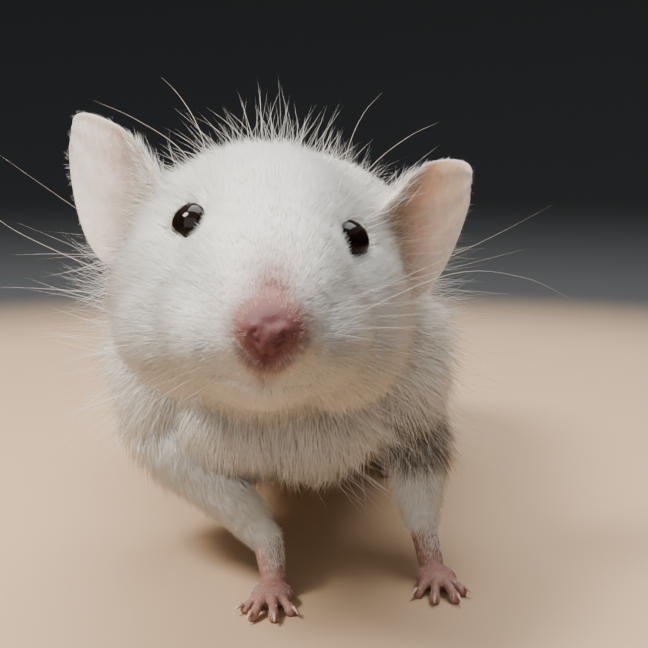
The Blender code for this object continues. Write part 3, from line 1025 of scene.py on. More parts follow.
    def carved(self, skin: Surface) -> Surface:
        """The skin with nostrils, the groove under the nose and the mouth line pressed in.

        Each is a valley depth * exp(-(distance / width)^2), pressed against the skin's own direction.

        Args:
            skin: the skin.
        Returns:
            The skin with its hollows.
        """
        side, ahead, up = HEAD.local(skin.points).T
        out = np.abs(side)
        press = np.zeros(len(side))
        front = smooth_step(ahead, 10.8, 12.0)
        curl = np.hypot((out - 0.62) / 1.0, (up + 3.05) / 0.75)
        nostril = bell(curl, 0.42, 0.2) * smooth_step(out - 0.25 * (up + 3.3), 0.42, 0.66)
        press += self.nostril_depth * front * nostril * (curl < 1.1)
        cleft = bell(side, 0.0, 0.14) * smooth_step(-up, 3.2, 3.9) * smooth_step(up, -6.9, -6.3)
        press += self.cleft_depth * front * cleft
        sheet = -6.3 - 0.14 * np.clip(11.5 - ahead, 0, 8)
        press += self.mouth_depth * bell(up, sheet, 0.13) * smooth_step(ahead, 9.5, 10.8)
        hollow = (out - 4.55) ** 2 + (ahead - 2.0) ** 2 + (up + 0.3) ** 2
        press += self.socket_depth * np.exp(-hollow / 1.5**2)
        wrinkle = np.cos(ahead * 5.2) * smooth_step(ahead, 8.5, 10.0) * smooth_step(-ahead, -12.2, -11.4)
        press += self.wrinkle_depth * wrinkle * smooth_step(up, -2.6, -1.4)
        return Surface(skin.points - press[:, None] * skin.normals(), skin.triangles)

    def build(self) -> Surface:
        """The body's skin: the head softened first, then the flesh, then the crisp details.

        Returns:
            The skin.
        """
        grid = FineGrid()
        head = grid.fused(self.head(), self.head_voxel, self.head_softening)
        flesh = grid.fused(self.masses(head), self.voxel, self.softening)
        whole = grid.fused(self.details(*flesh), self.voxel, self.detail_softening)
        return self.carved(Surface(*whole))


@dataclass
class Ear:
    """A thin leaf, cupped forwards and outwards, with a rolled rim and shallow folds at its root."""

    side: Side
    axis: Triple
    length: float
    half_width: float
    tip_rise: float
    root: Triple = (6.6, -5.5, -1.0)
    up: Triple = (-0.1, 0.0, 1.0)
    root_half_width: float = 2.5
    root_drop: float = 0.7
    widest: float = 0.39
    tip_curl: float = 2.0
    cup_root: float = 2.0
    cup_tip: float = 0.1
    thickness: float = 0.42
    # How far the leaf goes on into the head, as a share of its length.
    reach_inside: float = 0.22
    fold_height: float = 0.22
    ripple_height: float = 0.07
    roll_height: float = 0.35

    def half_widths(self, s: Array) -> Array:
        """Half the width at s of the length: a sine up to the widest place, then an ellipse to the tip.

        Args:
            s: shares of the length.
        Returns:
            Half the width at each.
        """
        rise = np.sin(np.pi / 2 * np.clip(s / self.widest, 0, 1))
        fall = np.sqrt(np.clip(1 - (np.clip(s - self.widest, 0, 1) / (1 - self.widest)) ** 2, 0, 1))
        grown = self.root_half_width + (self.half_width - self.root_half_width) * rise
        return np.where(s < self.widest, grown, self.half_width * fall)

    def tip_up(self, s: Array) -> Array:
        """How far the middle line has risen at s of the length."""
        s = np.clip(s, 0, 1)
        return self.tip_rise * s**2 + self.tip_curl * s**5

    def directions(self) -> tuple[Array, Array, Array]:
        """Unit vectors along, across and out of the left ear, in the head's axes.

        Returns:
            The three vectors.
        """
        axis = unit(np.array(self.axis))
        across = unit(np.array(self.up) - np.dot(self.up, axis) * axis)
        facing = np.cross(across, axis)
        return axis, across, facing if facing[0] > 0 else -facing

    def sheet(self, s: Array, t: Array) -> Array:
        """The middle of the ear at s of its length and t of its half width.

        It rises t * width + tip_rise * s^2 + tip_curl * s^5 across and stands cup * (t width / half_width)^2
        forwards, with folds that fade along s and a rim that rolls forwards.

        Args:
            s: shares of the length.
            t: shares of the half width.
        Returns:
            Points in the head's axes, without the mirror.
        """
        axis, across, facing = self.directions()
        width = self.half_widths(s)
        share = t * width / self.half_width
        cup = self.cup_root + (self.cup_tip - self.cup_root) * np.clip(s, 0, 1)
        folds = self.fold_height * np.cos(5.5 * t + 1.2) * bell(s, 0.12, 0.22)
        ripples = self.ripple_height * np.sin(9.0 * t + 4.0 * s) * smooth_step(s, 0.2, 0.5)
        roll = self.roll_height * smooth_step(np.maximum(np.abs(t), s**3), 0.80, 1.0) * (1 - 0.5 * s)
        forward = cup * share**2 + folds + ripples + roll
        rise = t * width + self.tip_up(s) - self.root_drop * (1 - smooth_step(s, 0.0, 0.3))
        place = np.array(self.root) + s[..., None] * self.length * axis
        return place + rise[..., None] * across + forward[..., None] * facing

    def rings(self, rows: int = 56, columns: int = 34) -> Array:
        """Rings round the leaf from root to tip: out along the front and back along the rear.

        Args:
            rows: rings from root to tip.
            columns: points on each face of a ring.
        Returns:
            Rings as (row, place, xyz).
        """
        s = -self.reach_inside + (0.985 + self.reach_inside) * np.linspace(0, 1, rows)[:, None] ** 0.85
        t = np.sin(np.linspace(-np.pi / 2, np.pi / 2, columns))[None]
        s, t = np.broadcast_arrays(s, t)
        middle = self.sheet(s, t)
        facing = unit(np.cross(np.gradient(middle, axis=1), np.gradient(middle, axis=0)))
        facing *= np.sign(facing @ self.directions()[2])[..., None]
        thick = 0.5 * self.thickness * (1.5 - np.clip(s, 0, 1)) * np.sqrt(np.clip(1.02 - t**6, 0, 1))
        thick = thick * np.sqrt(np.clip(1.03 - np.clip(s, 0, 1) ** 10, 0, 1))
        offset = thick[..., None] * facing
        return np.concatenate([middle + offset, (middle - offset)[:, ::-1]], 1)

    def build(self) -> Surface:
        """The ear as a closed surface."""
        rings = self.rings() * self.side.mirror
        return Surface(*ring_solid(HEAD.points(rings)))

    def coordinates(self, points: Array) -> tuple[Array, Array, Array]:
        """For points: s along the ear, t across it, and the distance in front of its flat middle plane.

        Args:
            points: points in the mouse's axes.
        Returns:
            The three, for each point.
        """
        axis, across, facing = self.directions()
        local = HEAD.local(points) * self.side.mirror - self.root
        s = local @ axis / self.length
        rise = local @ across - self.tip_up(s)
        return s, rise / self.half_width, local @ facing


@dataclass
class Horns(Masses):
    """Tapered solids, claws or whiskers, each of whose points knows how far along it is."""

    along: list[Array] = field(default_factory=list)

    def grow(self, points: Array, radius: Array, sides: int, lowest: float = -np.inf) -> None:
        """Adds a horn.

        Args:
            points: its middle line from root to tip.
            radius: its radius at each point.
            sides: points in a ring.
            lowest: the height that it stays above.
        """
        rings = route_rings(np.column_stack([points, radius]), sides)
        rings[..., 2] = np.maximum(rings[..., 2], lowest)
        self.add(*ring_solid(rings))
        self.along.append(np.concatenate([np.repeat(np.linspace(0, 1, len(points)), sides), [0, 1]]))

    def piece(self, name: str) -> bpy.types.Object:
        """All the horns as one piece, which its material can colour from root to tip."""
        return make_object(name, *self.joined(), along=np.concatenate(self.along))


@dataclass
class Foot:
    """A bare foot: a pad, a sole back to the heel, a pastern up to the leg, and digits with pads."""

    name: str
    side: Side
    ball: tuple[float, float]
    turn: float
    heel: float
    ankle: tuple[Triple, float]
    digits: tuple
    voxel: float
    softening: int = 5
    heel_radius: float = 1.1
    # The pad's distance behind the ball, and its radii; then the same for the bumps along its front edge.
    pad_back: float = 0.4
    pad_radii: Triple = (1.5, 1.75, 0.8)
    bump_radii: Triple = (0.5, 0.5, 0.4)
    # For each stage of a digit: how far along it is, its height less the radius, and its share of the radius.
    digit_stages: tuple = ((0.4, 0.5, 0.84), (0.75, 0.22, 0.8), (1.0, -0.1, 0.95))
    claw_steps: int = 12
    claw_sides: int = 10
    claw_length: float = 0.9
    claw_radius: float = 0.17
    claw_droop: float = 32.0

    def place(self, outwards: float, back: float, up: float) -> Array:
        """A point given along the foot's own axes.

        Args:
            outwards: distance to the left.
            back: distance backwards.
            up: height.
        Returns:
            The point in the mouse's axes.
        """
        angle = math.radians(self.turn)
        x = outwards * math.cos(angle) - back * math.sin(angle)
        y = outwards * math.sin(angle) + back * math.cos(angle)
        return np.array((self.ball[0] + x, self.ball[1] + y, up))

    def digit_aims(self) -> list[tuple[Array, Array, float, float]]:
        """Where the digits start and point, fanned out by their own turns.

        Returns:
            For each digit, its root on the floor, its direction, its length and its radius.
        """
        made = []
        for turn, start, length, radius in self.digits:
            angle = math.radians(self.turn - turn * self.side.value)
            forward = np.array((math.sin(angle), -math.cos(angle), 0.0))
            root = self.place(0.0, self.pad_back, 0.0) + forward * (start + 0.6)
            made.append((root, forward, length, radius))
        return made

    def build(self) -> Surface:
        """The foot fused from its pad, heel, pastern and digits.

        Returns:
            One closed surface with a flat sole.
        """
        flesh = Masses()
        pad, back = self.place(0, self.pad_back, 0.85), self.place(0, self.heel, self.heel_radius - 0.1)
        ankle, ankle_radius = np.array(self.ankle[0]), self.ankle[1]
        lift = 0.5 * (back + ankle) + (0.0, 0.2, 0.1)
        sole = 0.95 * self.heel_radius
        flesh.ball(tuple(pad), self.pad_radii)
        for bump in (-0.8, 0.0, 0.8):
            flesh.ball(tuple(self.place(bump, -0.45 + abs(bump) * 0.6, 0.42)), self.bump_radii)
        flesh.tube([(pad, 0.85), (0.5 * (pad + back), 0.9), (back, sole)])
        flesh.tube([(back, sole), (lift, 0.5 * (self.heel_radius + ankle_radius)), (ankle, ankle_radius)])
        for root, forward, length, radius in self.digit_aims():
            knuckles = [(root + (0, 0, 0.8), radius * 1.05)]
            for along, above, share in self.digit_stages:
                knuckles.append((root + forward * along * length + (0, 0, radius + above), radius * share))
            flesh.tube(knuckles, steps=4, sides=16)
        points, triangles = EvenGrid().fused(flesh, self.voxel, self.softening)
        points[:, 2] = np.maximum(points[:, 2], 0.0)
        return Surface(points, triangles)

    def claws(self) -> bpy.types.Object:
        """The foot's claws: horns that droop and whose radius falls from root to tip as 1 - 0.92 u^1.4.

        Returns:
            The piece.
        """
        horns = Horns()
        for root, forward, length, radius in self.digit_aims():
            u = np.linspace(0, 1, self.claw_steps)
            angle = np.radians(self.claw_droop) * (0.2 + u)
            step = self.claw_length / self.claw_steps * np.stack([np.cos(angle), -np.sin(angle)], -1)
            path = np.cumsum(step, axis=0)
            start = root + forward * (length + 0.45 * radius) + (0, 0, radius + 0.32)
            points = start + path[:, :1] * forward + path[:, 1:] * (0, 0, 1)
            horns.grow(points, self.claw_radius * (1 - 0.92 * u**1.4), self.claw_sides, lowest=0.02)
        nodes = [f"{self.name}_claw_{i + 1}" for i in range(len(self.digits))]
        return dressed(horns.piece(f"{self.name}_claws"), CLAW_HORN, Slot.CLAW, *nodes)


@dataclass
class Tail:
    """A tapering tail ringed with scales, from the rump down to the floor and along it."""

    route: tuple = (
        ((0.0, 63.0, 15.6), 2.5),
        ((0.0, 66.0, 14.6), 2.4),
        ((0.2, 71.5, 11.6), 2.1),
        ((1.0, 78.5, 5.8), 1.85),
        ((2.6, 86.5, 2.1), 1.68),
        ((5.4, 99.0, 1.4), 1.42),
        ((4.6, 113.0, 1.15), 1.17),
        ((-0.8, 126.5, 0.92), 0.92),
        ((-6.0, 139.5, 0.62), 0.62),
        ((-6.3, 140.1, 0.6), 0.3),
    )
    ring_spacing: float = 0.62
    # A ring's radius where it starts, as a share of the tail's, and how much it swells towards its end.
    ring_start: float = 0.95
    ring_swell: float = 0.085
    sides: int = 16

    def rows(self) -> Array:
        """The route at even steps of a third of a scale ring, with the radius swelling in each ring.

        Returns:
            Rows of x, y, z and radius.
        """
        rows = smooth_rows([(*point, radius) for point, radius in self.route], 24)
        far = np.concatenate([[0], np.cumsum(np.linalg.norm(np.diff(rows[:, :3], axis=0), axis=1))])
        even = np.arange(0, far[-1], self.ring_spacing / 3)
        rows = np.stack([np.interp(even, far, column) for column in rows.T], -1)
        rows[:, 3] *= self.ring_start + self.ring_swell * ((even / self.ring_spacing) % 1.0)
        rows[-1, 3] *= 0.6
        return rows

    def build(self) -> Surface:
        """The tail as a closed surface that doesn't dip under the floor.

        Returns:
            The surface.
        """
        rings = route_rings(self.rows(), self.sides)
        rings[..., 2] = np.maximum(rings[..., 2], 0.0)
        return Surface(*ring_solid(rings))


@dataclass
class Skin:
    """The one skin that stands for all the flesh."""

    body: Surface
    ears: dict[Side, Surface]
    feet: dict[str, Surface]
    tail: Surface
    ear_models: dict[Side, Ear]
    socket_room: float = 0.01

    def markings(self, points: Array) -> dict[str, Array]:
        """Where the skin is pink, rosy or beige, by distance from the nose, feet, tail and ears, and where
        painted shade darkens each ear towards its root.

        Args:
            points: the skin's points.
        Returns:
            Numbers from 0 to 1 for its material, one for each point.
        """
        side, ahead, up = HEAD.local(points).T
        width = np.clip(1.9 + 0.65 * (up + 3.0), 0.35, 2.1)
        nose = from_oval([side, ahead, up], (0.0, 12.6, -3.2), (width, 1.8, 2.1))
        tail = smooth_step(points[:, 1], 66.0, 70.0)
        behind = smooth_step(points[:, 1], 25.0, 30.0)
        low = smooth_step(-points[:, 2] - 1.2 * behind, -5.2, -3.2) * (1 - tail) * (1 - 0.3 * behind)
        rosy = 1 - smooth_step(nose, 0.55, 1.25)
        pink = np.clip(blush(points) + 0.95 * low + 0.85 * tail + rosy, 0, 1)
        ear, depth = np.zeros(len(points)), np.zeros(len(points))
        for model in self.ear_models.values():
            s, t, front = model.coordinates(points)
            inside = smooth_step(s, 0.05, 0.2) * (np.abs(t) < 1.15) * (np.abs(front) < 4.5)
            ear = np.maximum(ear, inside)
            # Painted shade: each ear darkens towards its root, deep in its cup.
            depth = np.maximum(depth, inside * (1 - smooth_step(s, 0.15, 0.72)))
        lid = from_oval([np.abs(side), ahead, up], EYE_CENTRE, (1.0, 1.0, 1.0))
        pink = np.maximum(pink, 0.6 * (1 - smooth_step(lid, 1.7, 2.1)))
        return {
            "pink": pink,
            "rosy": rosy,
            "ear": ear,
            "ear_depth": depth,
            "grey_patch": grey_patch(points),
            "furred": np.clip(1 - 1.5 * (pink + ear), 0, 1),
        }

    def united(self) -> tuple[Array, Array]:
        """The surfaces united in one mesh, with sockets for the eyes.

        Returns:
            The skin's points and triangles.
        """
        base = make_object("base", self.body.points, self.body.triangles)
        sockets = Masses()
        for side in Side:
            centre = np.array(EYE_CENTRE) * side.mirror
            sockets.ball(centre, (EyePair.radius + self.socket_room,) * 3, in_head=True)
        cutters = [(part, "UNION") for part in (*self.ears.values(), *self.feet.values(), self.tail)]
        cutters.append((Surface(*sockets.joined()), "DIFFERENCE"))
        others = []
        for number, (part, operation) in enumerate(cutters):
            other = make_object(f"cutter_{number}", part.points, part.triangles)
            cut = base.modifiers.new(f"join_{number}", "BOOLEAN")
            cut.operation, cut.solver, cut.object = operation, "MANIFOLD", other
            others.append(other)
        bpy.context.view_layer.update()
        points, triangles = read_mesh(base.evaluated_get(bpy.context.evaluated_depsgraph_get()).to_mesh())
        for obj in (base, *others):
            bpy.data.objects.remove(obj)
        return points / MM - SHIFT, triangles

    def build(self) -> bpy.types.Object:
        """The skin, dressed and set on the CAD body in the place of all the flesh.

        Returns:
            The piece.
        """
        points, triangles = self.united()
        skin = make_object("mouse_skin", points, triangles, **self.markings(points))
        flesh = ["head", "neck", "trunk", "nose"] + [f"tail_{i}" for i in range(1, 5)]
        for side in Side:
            flesh += [f"{part}_{side.word}" for part in ("ear", "foreleg", "hindleg", "forefoot", "hindfoot")]
        return dressed(skin, SKIN, Slot.BARE_SKIN, *flesh)


@dataclass
class EyePair:
    """Two round eyes, each a ball whose cornea bulges a little along the gaze."""

    radius: float = 1.55
    bulge: float = 0.05
    bulge_angle: float = 40.0
    rows: int = 56
    columns: int = 72

    def build(self) -> list[bpy.types.Object]:
        """Both eyes: the radius is R (1 + bulge * exp(-(angle from the gaze / bulge_angle)^2)).

        Returns:
            The two pieces.
        """
        made = []
        for side in Side:
            gaze, across, above = gaze_frame(side)
            polar = np.linspace(0, np.pi, self.rows + 2)[1:-1, None, None]
            around = np.linspace(0, TURN, self.columns, endpoint=False)[None, :, None]
            reach = self.radius * (1 + self.bulge * bell(polar, 0.0, math.radians(self.bulge_angle)))
            spokes = np.cos(around) * across + np.sin(around) * above
            rings = reach * (np.cos(polar) * gaze + np.sin(polar) * spokes)
            rings = rings + np.array(EYE_CENTRE) * side.mirror
            eye = make_object(f"eyeball_{side.word}", *ring_solid(HEAD.points(rings)))
            made.append(dressed(eye, CORNEA, Slot.EYE, f"eye_{side.word}"))
        return made


# ---- Coat ----


@dataclass(frozen=True)
class CoatGuide:
    """How the coat lies at one place. A place off the middle stands for both sides, save on the forelegs.

    The depth is how far the hairs' tips stand from the skin, the radius a hair's, and the cover how many
    layers of hair lie over each other.
    """

    place: Triple
    lie: Triple
    length: float
    depth: float
    radius: float
    cover: float
    in_head: bool = False


# On the head the coat lies back from the nose, over the crown and round the cheeks.
HEAD_GUIDES = tuple(CoatGuide(*row, in_head=True) for row in (
    ((0.0, 12.0, -1.6), (0.0, -1.0, 0.3), 0.45, 0.1, 0.015, 1.4),
    ((0.0, 9.5, -0.2), (0.0, -1.0, 0.3), 0.85, 0.2, 0.017, 3.7),
    ((0.0, 6.0, 1.7), (0.0, -1.0, 0.3), 1.3, 0.32, 0.018, 5.8),
    ((0.0, 3.0, 3.0), (0.0, -1.0, 0.25), 1.7, 0.45, 0.019, 6.5),
    ((0.0, -1.0, 4.0), (0.0, -1.0, 0.1), 2.1, 0.65, 0.018, 8.1),
    ((0.0, -5.0, 4.8), (0.0, -1.0, 0.0), 2.8, 1.0, 0.02, 8.1),
    ((0.0, -9.0, 4.6), (0.0, -1.0, 0.0), 3.6, 1.45, 0.024, 7.8),
    ((0.0, -13.0, 3.6), (0.0, -1.0, 0.0), 4.6, 1.8, 0.03, 7.2),
    ((2.4, -9.0, 4.2), (0.3, -1.0, 0.05), 3.6, 1.45, 0.024, 7.8),
    ((1.9, 11.4, -2.8), (0.6, -0.8, 0.0), 0.55, 0.13, 0.016, 3.0),
    ((3.0, 9.8, -3.6), (0.65, -0.75, -0.05), 1.2, 0.3, 0.017, 5.6),
    ((4.6, 7.0, -4.6), (0.7, -0.68, -0.2), 2.3, 0.52, 0.019, 6.7),
    ((1.5, 11.6, -5.4), (0.6, -0.5, -0.6), 0.6, 0.16, 0.017, 5.3),
    ((0.4, 11.4, -6.2), (0.2, -0.45, -0.9), 0.8, 0.2, 0.017, 6.3),
    ((3.2, 8.8, -6.4), (0.55, -0.6, -0.6), 1.5, 0.42, 0.018, 6.0),
    ((4.6, 3.8, -1.2), (0.5, -0.85, -0.1), 1.4, 0.36, 0.018, 6.5),
    ((5.6, 3.4, -3.8), (0.65, -0.7, -0.25), 2.4, 0.62, 0.02, 6.7),
    ((6.8, 3.0, -6.2), (0.65, -0.6, -0.45), 2.8, 0.85, 0.021, 6.5),
    ((8.0, 0.5, -6.0), (0.65, -0.65, -0.35), 3.2, 1.1, 0.02, 8.1),
    ((8.4, -3.5, -5.6), (0.65, -0.7, -0.25), 3.7, 1.5, 0.022, 8.1),
    ((8.0, -8.5, -6.2), (0.75, -0.6, -0.15), 4.8, 2.0, 0.026, 7.5),
    ((6.8, -2.6, 0.6), (0.75, -0.6, 0.25), 2.7, 0.95, 0.019, 8.1),
    ((7.2, -4.2, -1.0), (0.82, -0.55, 0.1), 3.6, 1.25, 0.021, 8.1),
    ((6.4, -1.0, -2.6), (0.6, -0.8, -0.1), 2.0, 0.65, 0.018, 8.1),
    ((3.9, 1.4, 2.2), (0.25, -0.95, 0.15), 1.6, 0.5, 0.017, 8.1),
    ((3.6, 3.8, 1.0), (0.3, -0.94, 0.12), 1.4, 0.38, 0.018, 6.5),
    ((4.6, -3.0, 3.4), (0.45, -0.88, 0.15), 2.7, 0.95, 0.02, 8.1),
    ((6.0, -6.5, 3.4), (0.7, -0.65, 0.35), 4.0, 1.6, 0.024, 7.8),
    ((8.0, -6.5, -2.6), (0.75, -0.65, 0.0), 3.8, 1.5, 0.024, 7.5),
    ((0.0, 10.2, -7.8), (0.0, -0.5, -0.85), 2.2, 0.7, 0.019, 6.7),
    ((1.6, 8.4, -8.0), (0.3, -0.5, -0.8), 2.8, 1.0, 0.019, 6.9),
    ((0.0, 4.0, -9.4), (0.0, -0.8, -0.6), 3.4, 1.25, 0.022, 6.6),
    ((3.8, 4.5, -8.6), (0.35, -0.7, -0.6), 3.3, 1.25, 0.021, 6.6),
    ((0.0, -4.0, -11.0), (0.0, -0.75, -0.65), 4.2, 1.6, 0.023, 7.5),
    ((5.6, -1.5, -9.6), (0.45, -0.6, -0.65), 4.2, 1.6, 0.022, 7.8),
))


# On neck, trunk and legs it lies backwards and falls down the sides and legs.
BODY_GUIDES = tuple(CoatGuide(*row) for row in (
    ((0.0, 14.0, 29.0), (0.0, 1.0, 0.0), 5.0, 1.7, 0.036, 5.0),
    ((0.0, 22.0, 30.0), (0.0, 1.0, 0.0), 4.2, 1.15, 0.038, 5.0),
    ((0.0, 38.0, 32.0), (0.0, 1.0, 0.0), 3.6, 0.55, 0.038, 5.0),
    ((0.0, 56.0, 29.5), (0.0, 1.0, -0.3), 3.2, 0.3, 0.038, 4.6),
    ((0.0, 67.0, 19.0), (0.0, 0.7, -0.7), 2.4, 0.22, 0.036, 4.6),
    ((0.0, 68.0, 12.0), (0.0, 0.6, -0.7), 1.8, 0.2, 0.034, 4.0),
    ((9.4, 9.5, 22.5), (0.6, 0.65, -0.3), 5.2, 2.1, 0.028, 6.6),
    ((10.0, 14.0, 19.0), (0.4, 0.65, -0.6), 5.0, 2.1, 0.032, 6.4),
    ((9.5, 19.0, 25.0), (0.1, 0.9, -0.4), 4.4, 1.4, 0.036, 5.4),
    ((8.8, 12.2, 15.5), (0.4, 0.25, -0.9), 4.0, 1.5, 0.024, 7.2),
    ((4.0, 8.0, 16.0), (0.1, 0.3, -0.95), 3.6, 0.8, 0.02, 7.6),
    ((0.0, 8.0, 14.5), (0.0, 0.35, -0.94), 3.8, 0.8, 0.02, 7.6),
    ((3.0, 9.4, 10.0), (0.05, -0.05, -1.0), 3.2, 0.8, 0.02, 7.6),
    ((0.0, 11.0, 9.5), (0.0, 0.15, -1.0), 3.2, 1.0, 0.02, 7.0),
    ((0.0, 16.0, 7.4), (0.0, 0.9, -0.4), 3.6, 1.1, 0.042, 4.6),
    ((0.0, 35.0, 5.8), (0.0, 1.0, -0.1), 3.2, 0.8, 0.046, 4.4),
    ((13.8, 36.0, 19.0), (0.05, 0.88, -0.45), 3.6, 0.65, 0.042, 5.0),
    ((11.5, 36.0, 9.0), (0.1, 0.9, -0.4), 3.4, 0.8, 0.044, 4.8),
    ((14.4, 50.0, 17.0), (0.05, 0.75, -0.65), 3.2, 0.3, 0.038, 4.6),
    ((12.0, 44.0, 8.0), (0.1, 0.75, -0.65), 2.2, 0.5, 0.038, 5.0),
    ((11.0, 60.0, 16.0), (-0.1, 0.8, -0.6), 2.6, 0.22, 0.036, 4.6),
    ((12.4, 17.5, 12.0), (0.1, 0.2, -0.97), 3.2, 1.1, 0.028, 6.4),
    ((10.2, 50.0, 6.2), (0.0, 0.8, -0.6), 2.0, 0.5, 0.034, 5.0),
    ((9.8, 55.0, 4.4), (0.0, 0.8, -0.6), 1.2, 0.3, 0.028, 4.0),
    ((4.0, 48.0, 5.8), (0.0, 0.9, -0.2), 3.2, 0.9, 0.05, 4.4),
))


# It runs down the two forelegs, which stand apart, so each has guides of its own.
FORELEG_GUIDES = tuple(CoatGuide(*row) for row in (
    ((10.6, 13.0, 8.0), (0.05, -0.35, -0.93), 2.4, 0.7, 0.026, 6.4),
    ((10.8, 11.6, 5.6), (0.0, -0.4, -0.9), 1.6, 0.4, 0.024, 6.0),
    ((10.9, 11.0, 4.2), (0.0, -0.4, -0.9), 0.9, 0.2, 0.019, 3.2),
    ((-8.4, 13.6, 10.0), (0.5, -0.4, -0.75), 3.0, 0.9, 0.026, 6.4),
    ((-5.8, 11.4, 8.2), (0.65, -0.4, -0.65), 2.4, 0.7, 0.026, 6.4),
    ((-3.6, 9.6, 6.6), (0.65, -0.45, -0.6), 1.9, 0.5, 0.025, 6.2),
    ((-2.0, 8.4, 5.2), (0.6, -0.45, -0.65), 1.4, 0.34, 0.022, 5.2),
    ((-0.9, 7.6, 4.2), (0.5, -0.45, -0.75), 0.9, 0.2, 0.018, 3.0),
))


class LieOfCoat:
    """The coat's direction, length, depth, thickness and cover anywhere, blended from the guides.

    Each guide counts by 1 / (distance^2 + softness)^2, so the nearest ones lead.
    """

    softness: float = 0.6

    def __init__(self) -> None:
        """Sets the guides of both sides out in arrays."""
        places, lies, values = [], [], []
        for guide in (*HEAD_GUIDES, *BODY_GUIDES, *FORELEG_GUIDES):
            one_side = guide.place[0] == 0 or guide in FORELEG_GUIDES
            for sign in (1,) if one_side else (1, -1):
                place, lie = np.array(guide.place) * (sign, 1, 1), np.array(guide.lie) * (sign, 1, 1)
                places.append(HEAD.points(place) if guide.in_head else place)
                lies.append(unit(HEAD.aims(lie) if guide.in_head else lie))
                values.append((guide.length, guide.depth, guide.radius, guide.cover))
        self.places, self.lies, self.values = (np.array(rows) for rows in (places, lies, values))

    def at(self, points: Array) -> tuple[Array, Array]:
        """The coat at some points.

        Args:
            points: points in the mouse's axes.
        Returns:
            The lie at each, and rows of length, depth, thickness and cover.
        """
        square = ((points[:, None] - self.places[None]) ** 2).sum(-1)
        weight = 1 / (square + self.softness) ** 2
        weight /= weight.sum(1, keepdims=True)
        return unit(weight @ self.lies), weight @ self.values


@dataclass(frozen=True)
class TuftStyle:
    """What the tufts of a piece of coat are like.

    Attributes:
        hairs: hairs in a tuft.
        spread: how far apart their roots are, as a share of the hair's length.
        gather: how far their tips come together, from 0 to 1.
        stray: how unevenly the hairs point, in radians.
        profile: the radius of a hair at even steps from root to tip, as a share. The tip itself is a point.
        bend: how much a hair bows back towards the skin.
        sink: how far a root lies inside the skin, in millimetres.
        uneven: how much one tuft differs from the next in length, lift, swing and tone.
    """

    hairs: int = 7
    spread: float = 0.22
    gather: float = 0.45
    stray: float = 0.14
    profile: tuple = (1.0,)
    bend: float = 0.35
    sink: float = 0.06
    uneven: float = 1.0


SHORT = TuftStyle(hairs=8, spread=0.26, gather=0.3, stray=0.09, bend=0.2)
LONG = TuftStyle(hairs=7, spread=0.22, gather=0.3, stray=0.13, profile=(1.0, 0.72), bend=0.35)
SLEEK = TuftStyle(hairs=5, spread=0.3, gather=0.2, stray=0.08, profile=(1.0, 0.75), bend=0.35, uneven=0.4)
WISPS = TuftStyle(hairs=4, spread=0.2, gather=0.4, stray=0.26, profile=(1.0, 0.8, 0.5), bend=0.16)
DOWN = TuftStyle(hairs=4, spread=0.6, gather=0.1, stray=0.2, bend=0.1, sink=0.03)


@dataclass
class Tufts:
    """Roots of tufts on the skin, with what each tuft is like."""

    roots: Array
    normals: Array
    lies: Array
    length: Array
    lift: Array
    radius: Array
    chart: Array


def hair_faces(rows: int) -> Array:
    """Triangles of a three-sided hair with a point for a tip, closed at the root.

    Args:
        rows: its rings.
    Returns:
        Triangles as rows of three point numbers.
    """
    faces = [(2, 1, 0)]
    for row in range(rows - 1):
        for i in range(3):
            a, b = 3 * row + i, 3 * row + (i + 1) % 3
            faces += [(a, b, b + 3), (a, b + 3, a + 3)]
    faces += [(3 * (rows - 1) + i, 3 * (rows - 1) + (i + 1) % 3, 3 * rows) for i in range(3)]
    return np.array(faces)


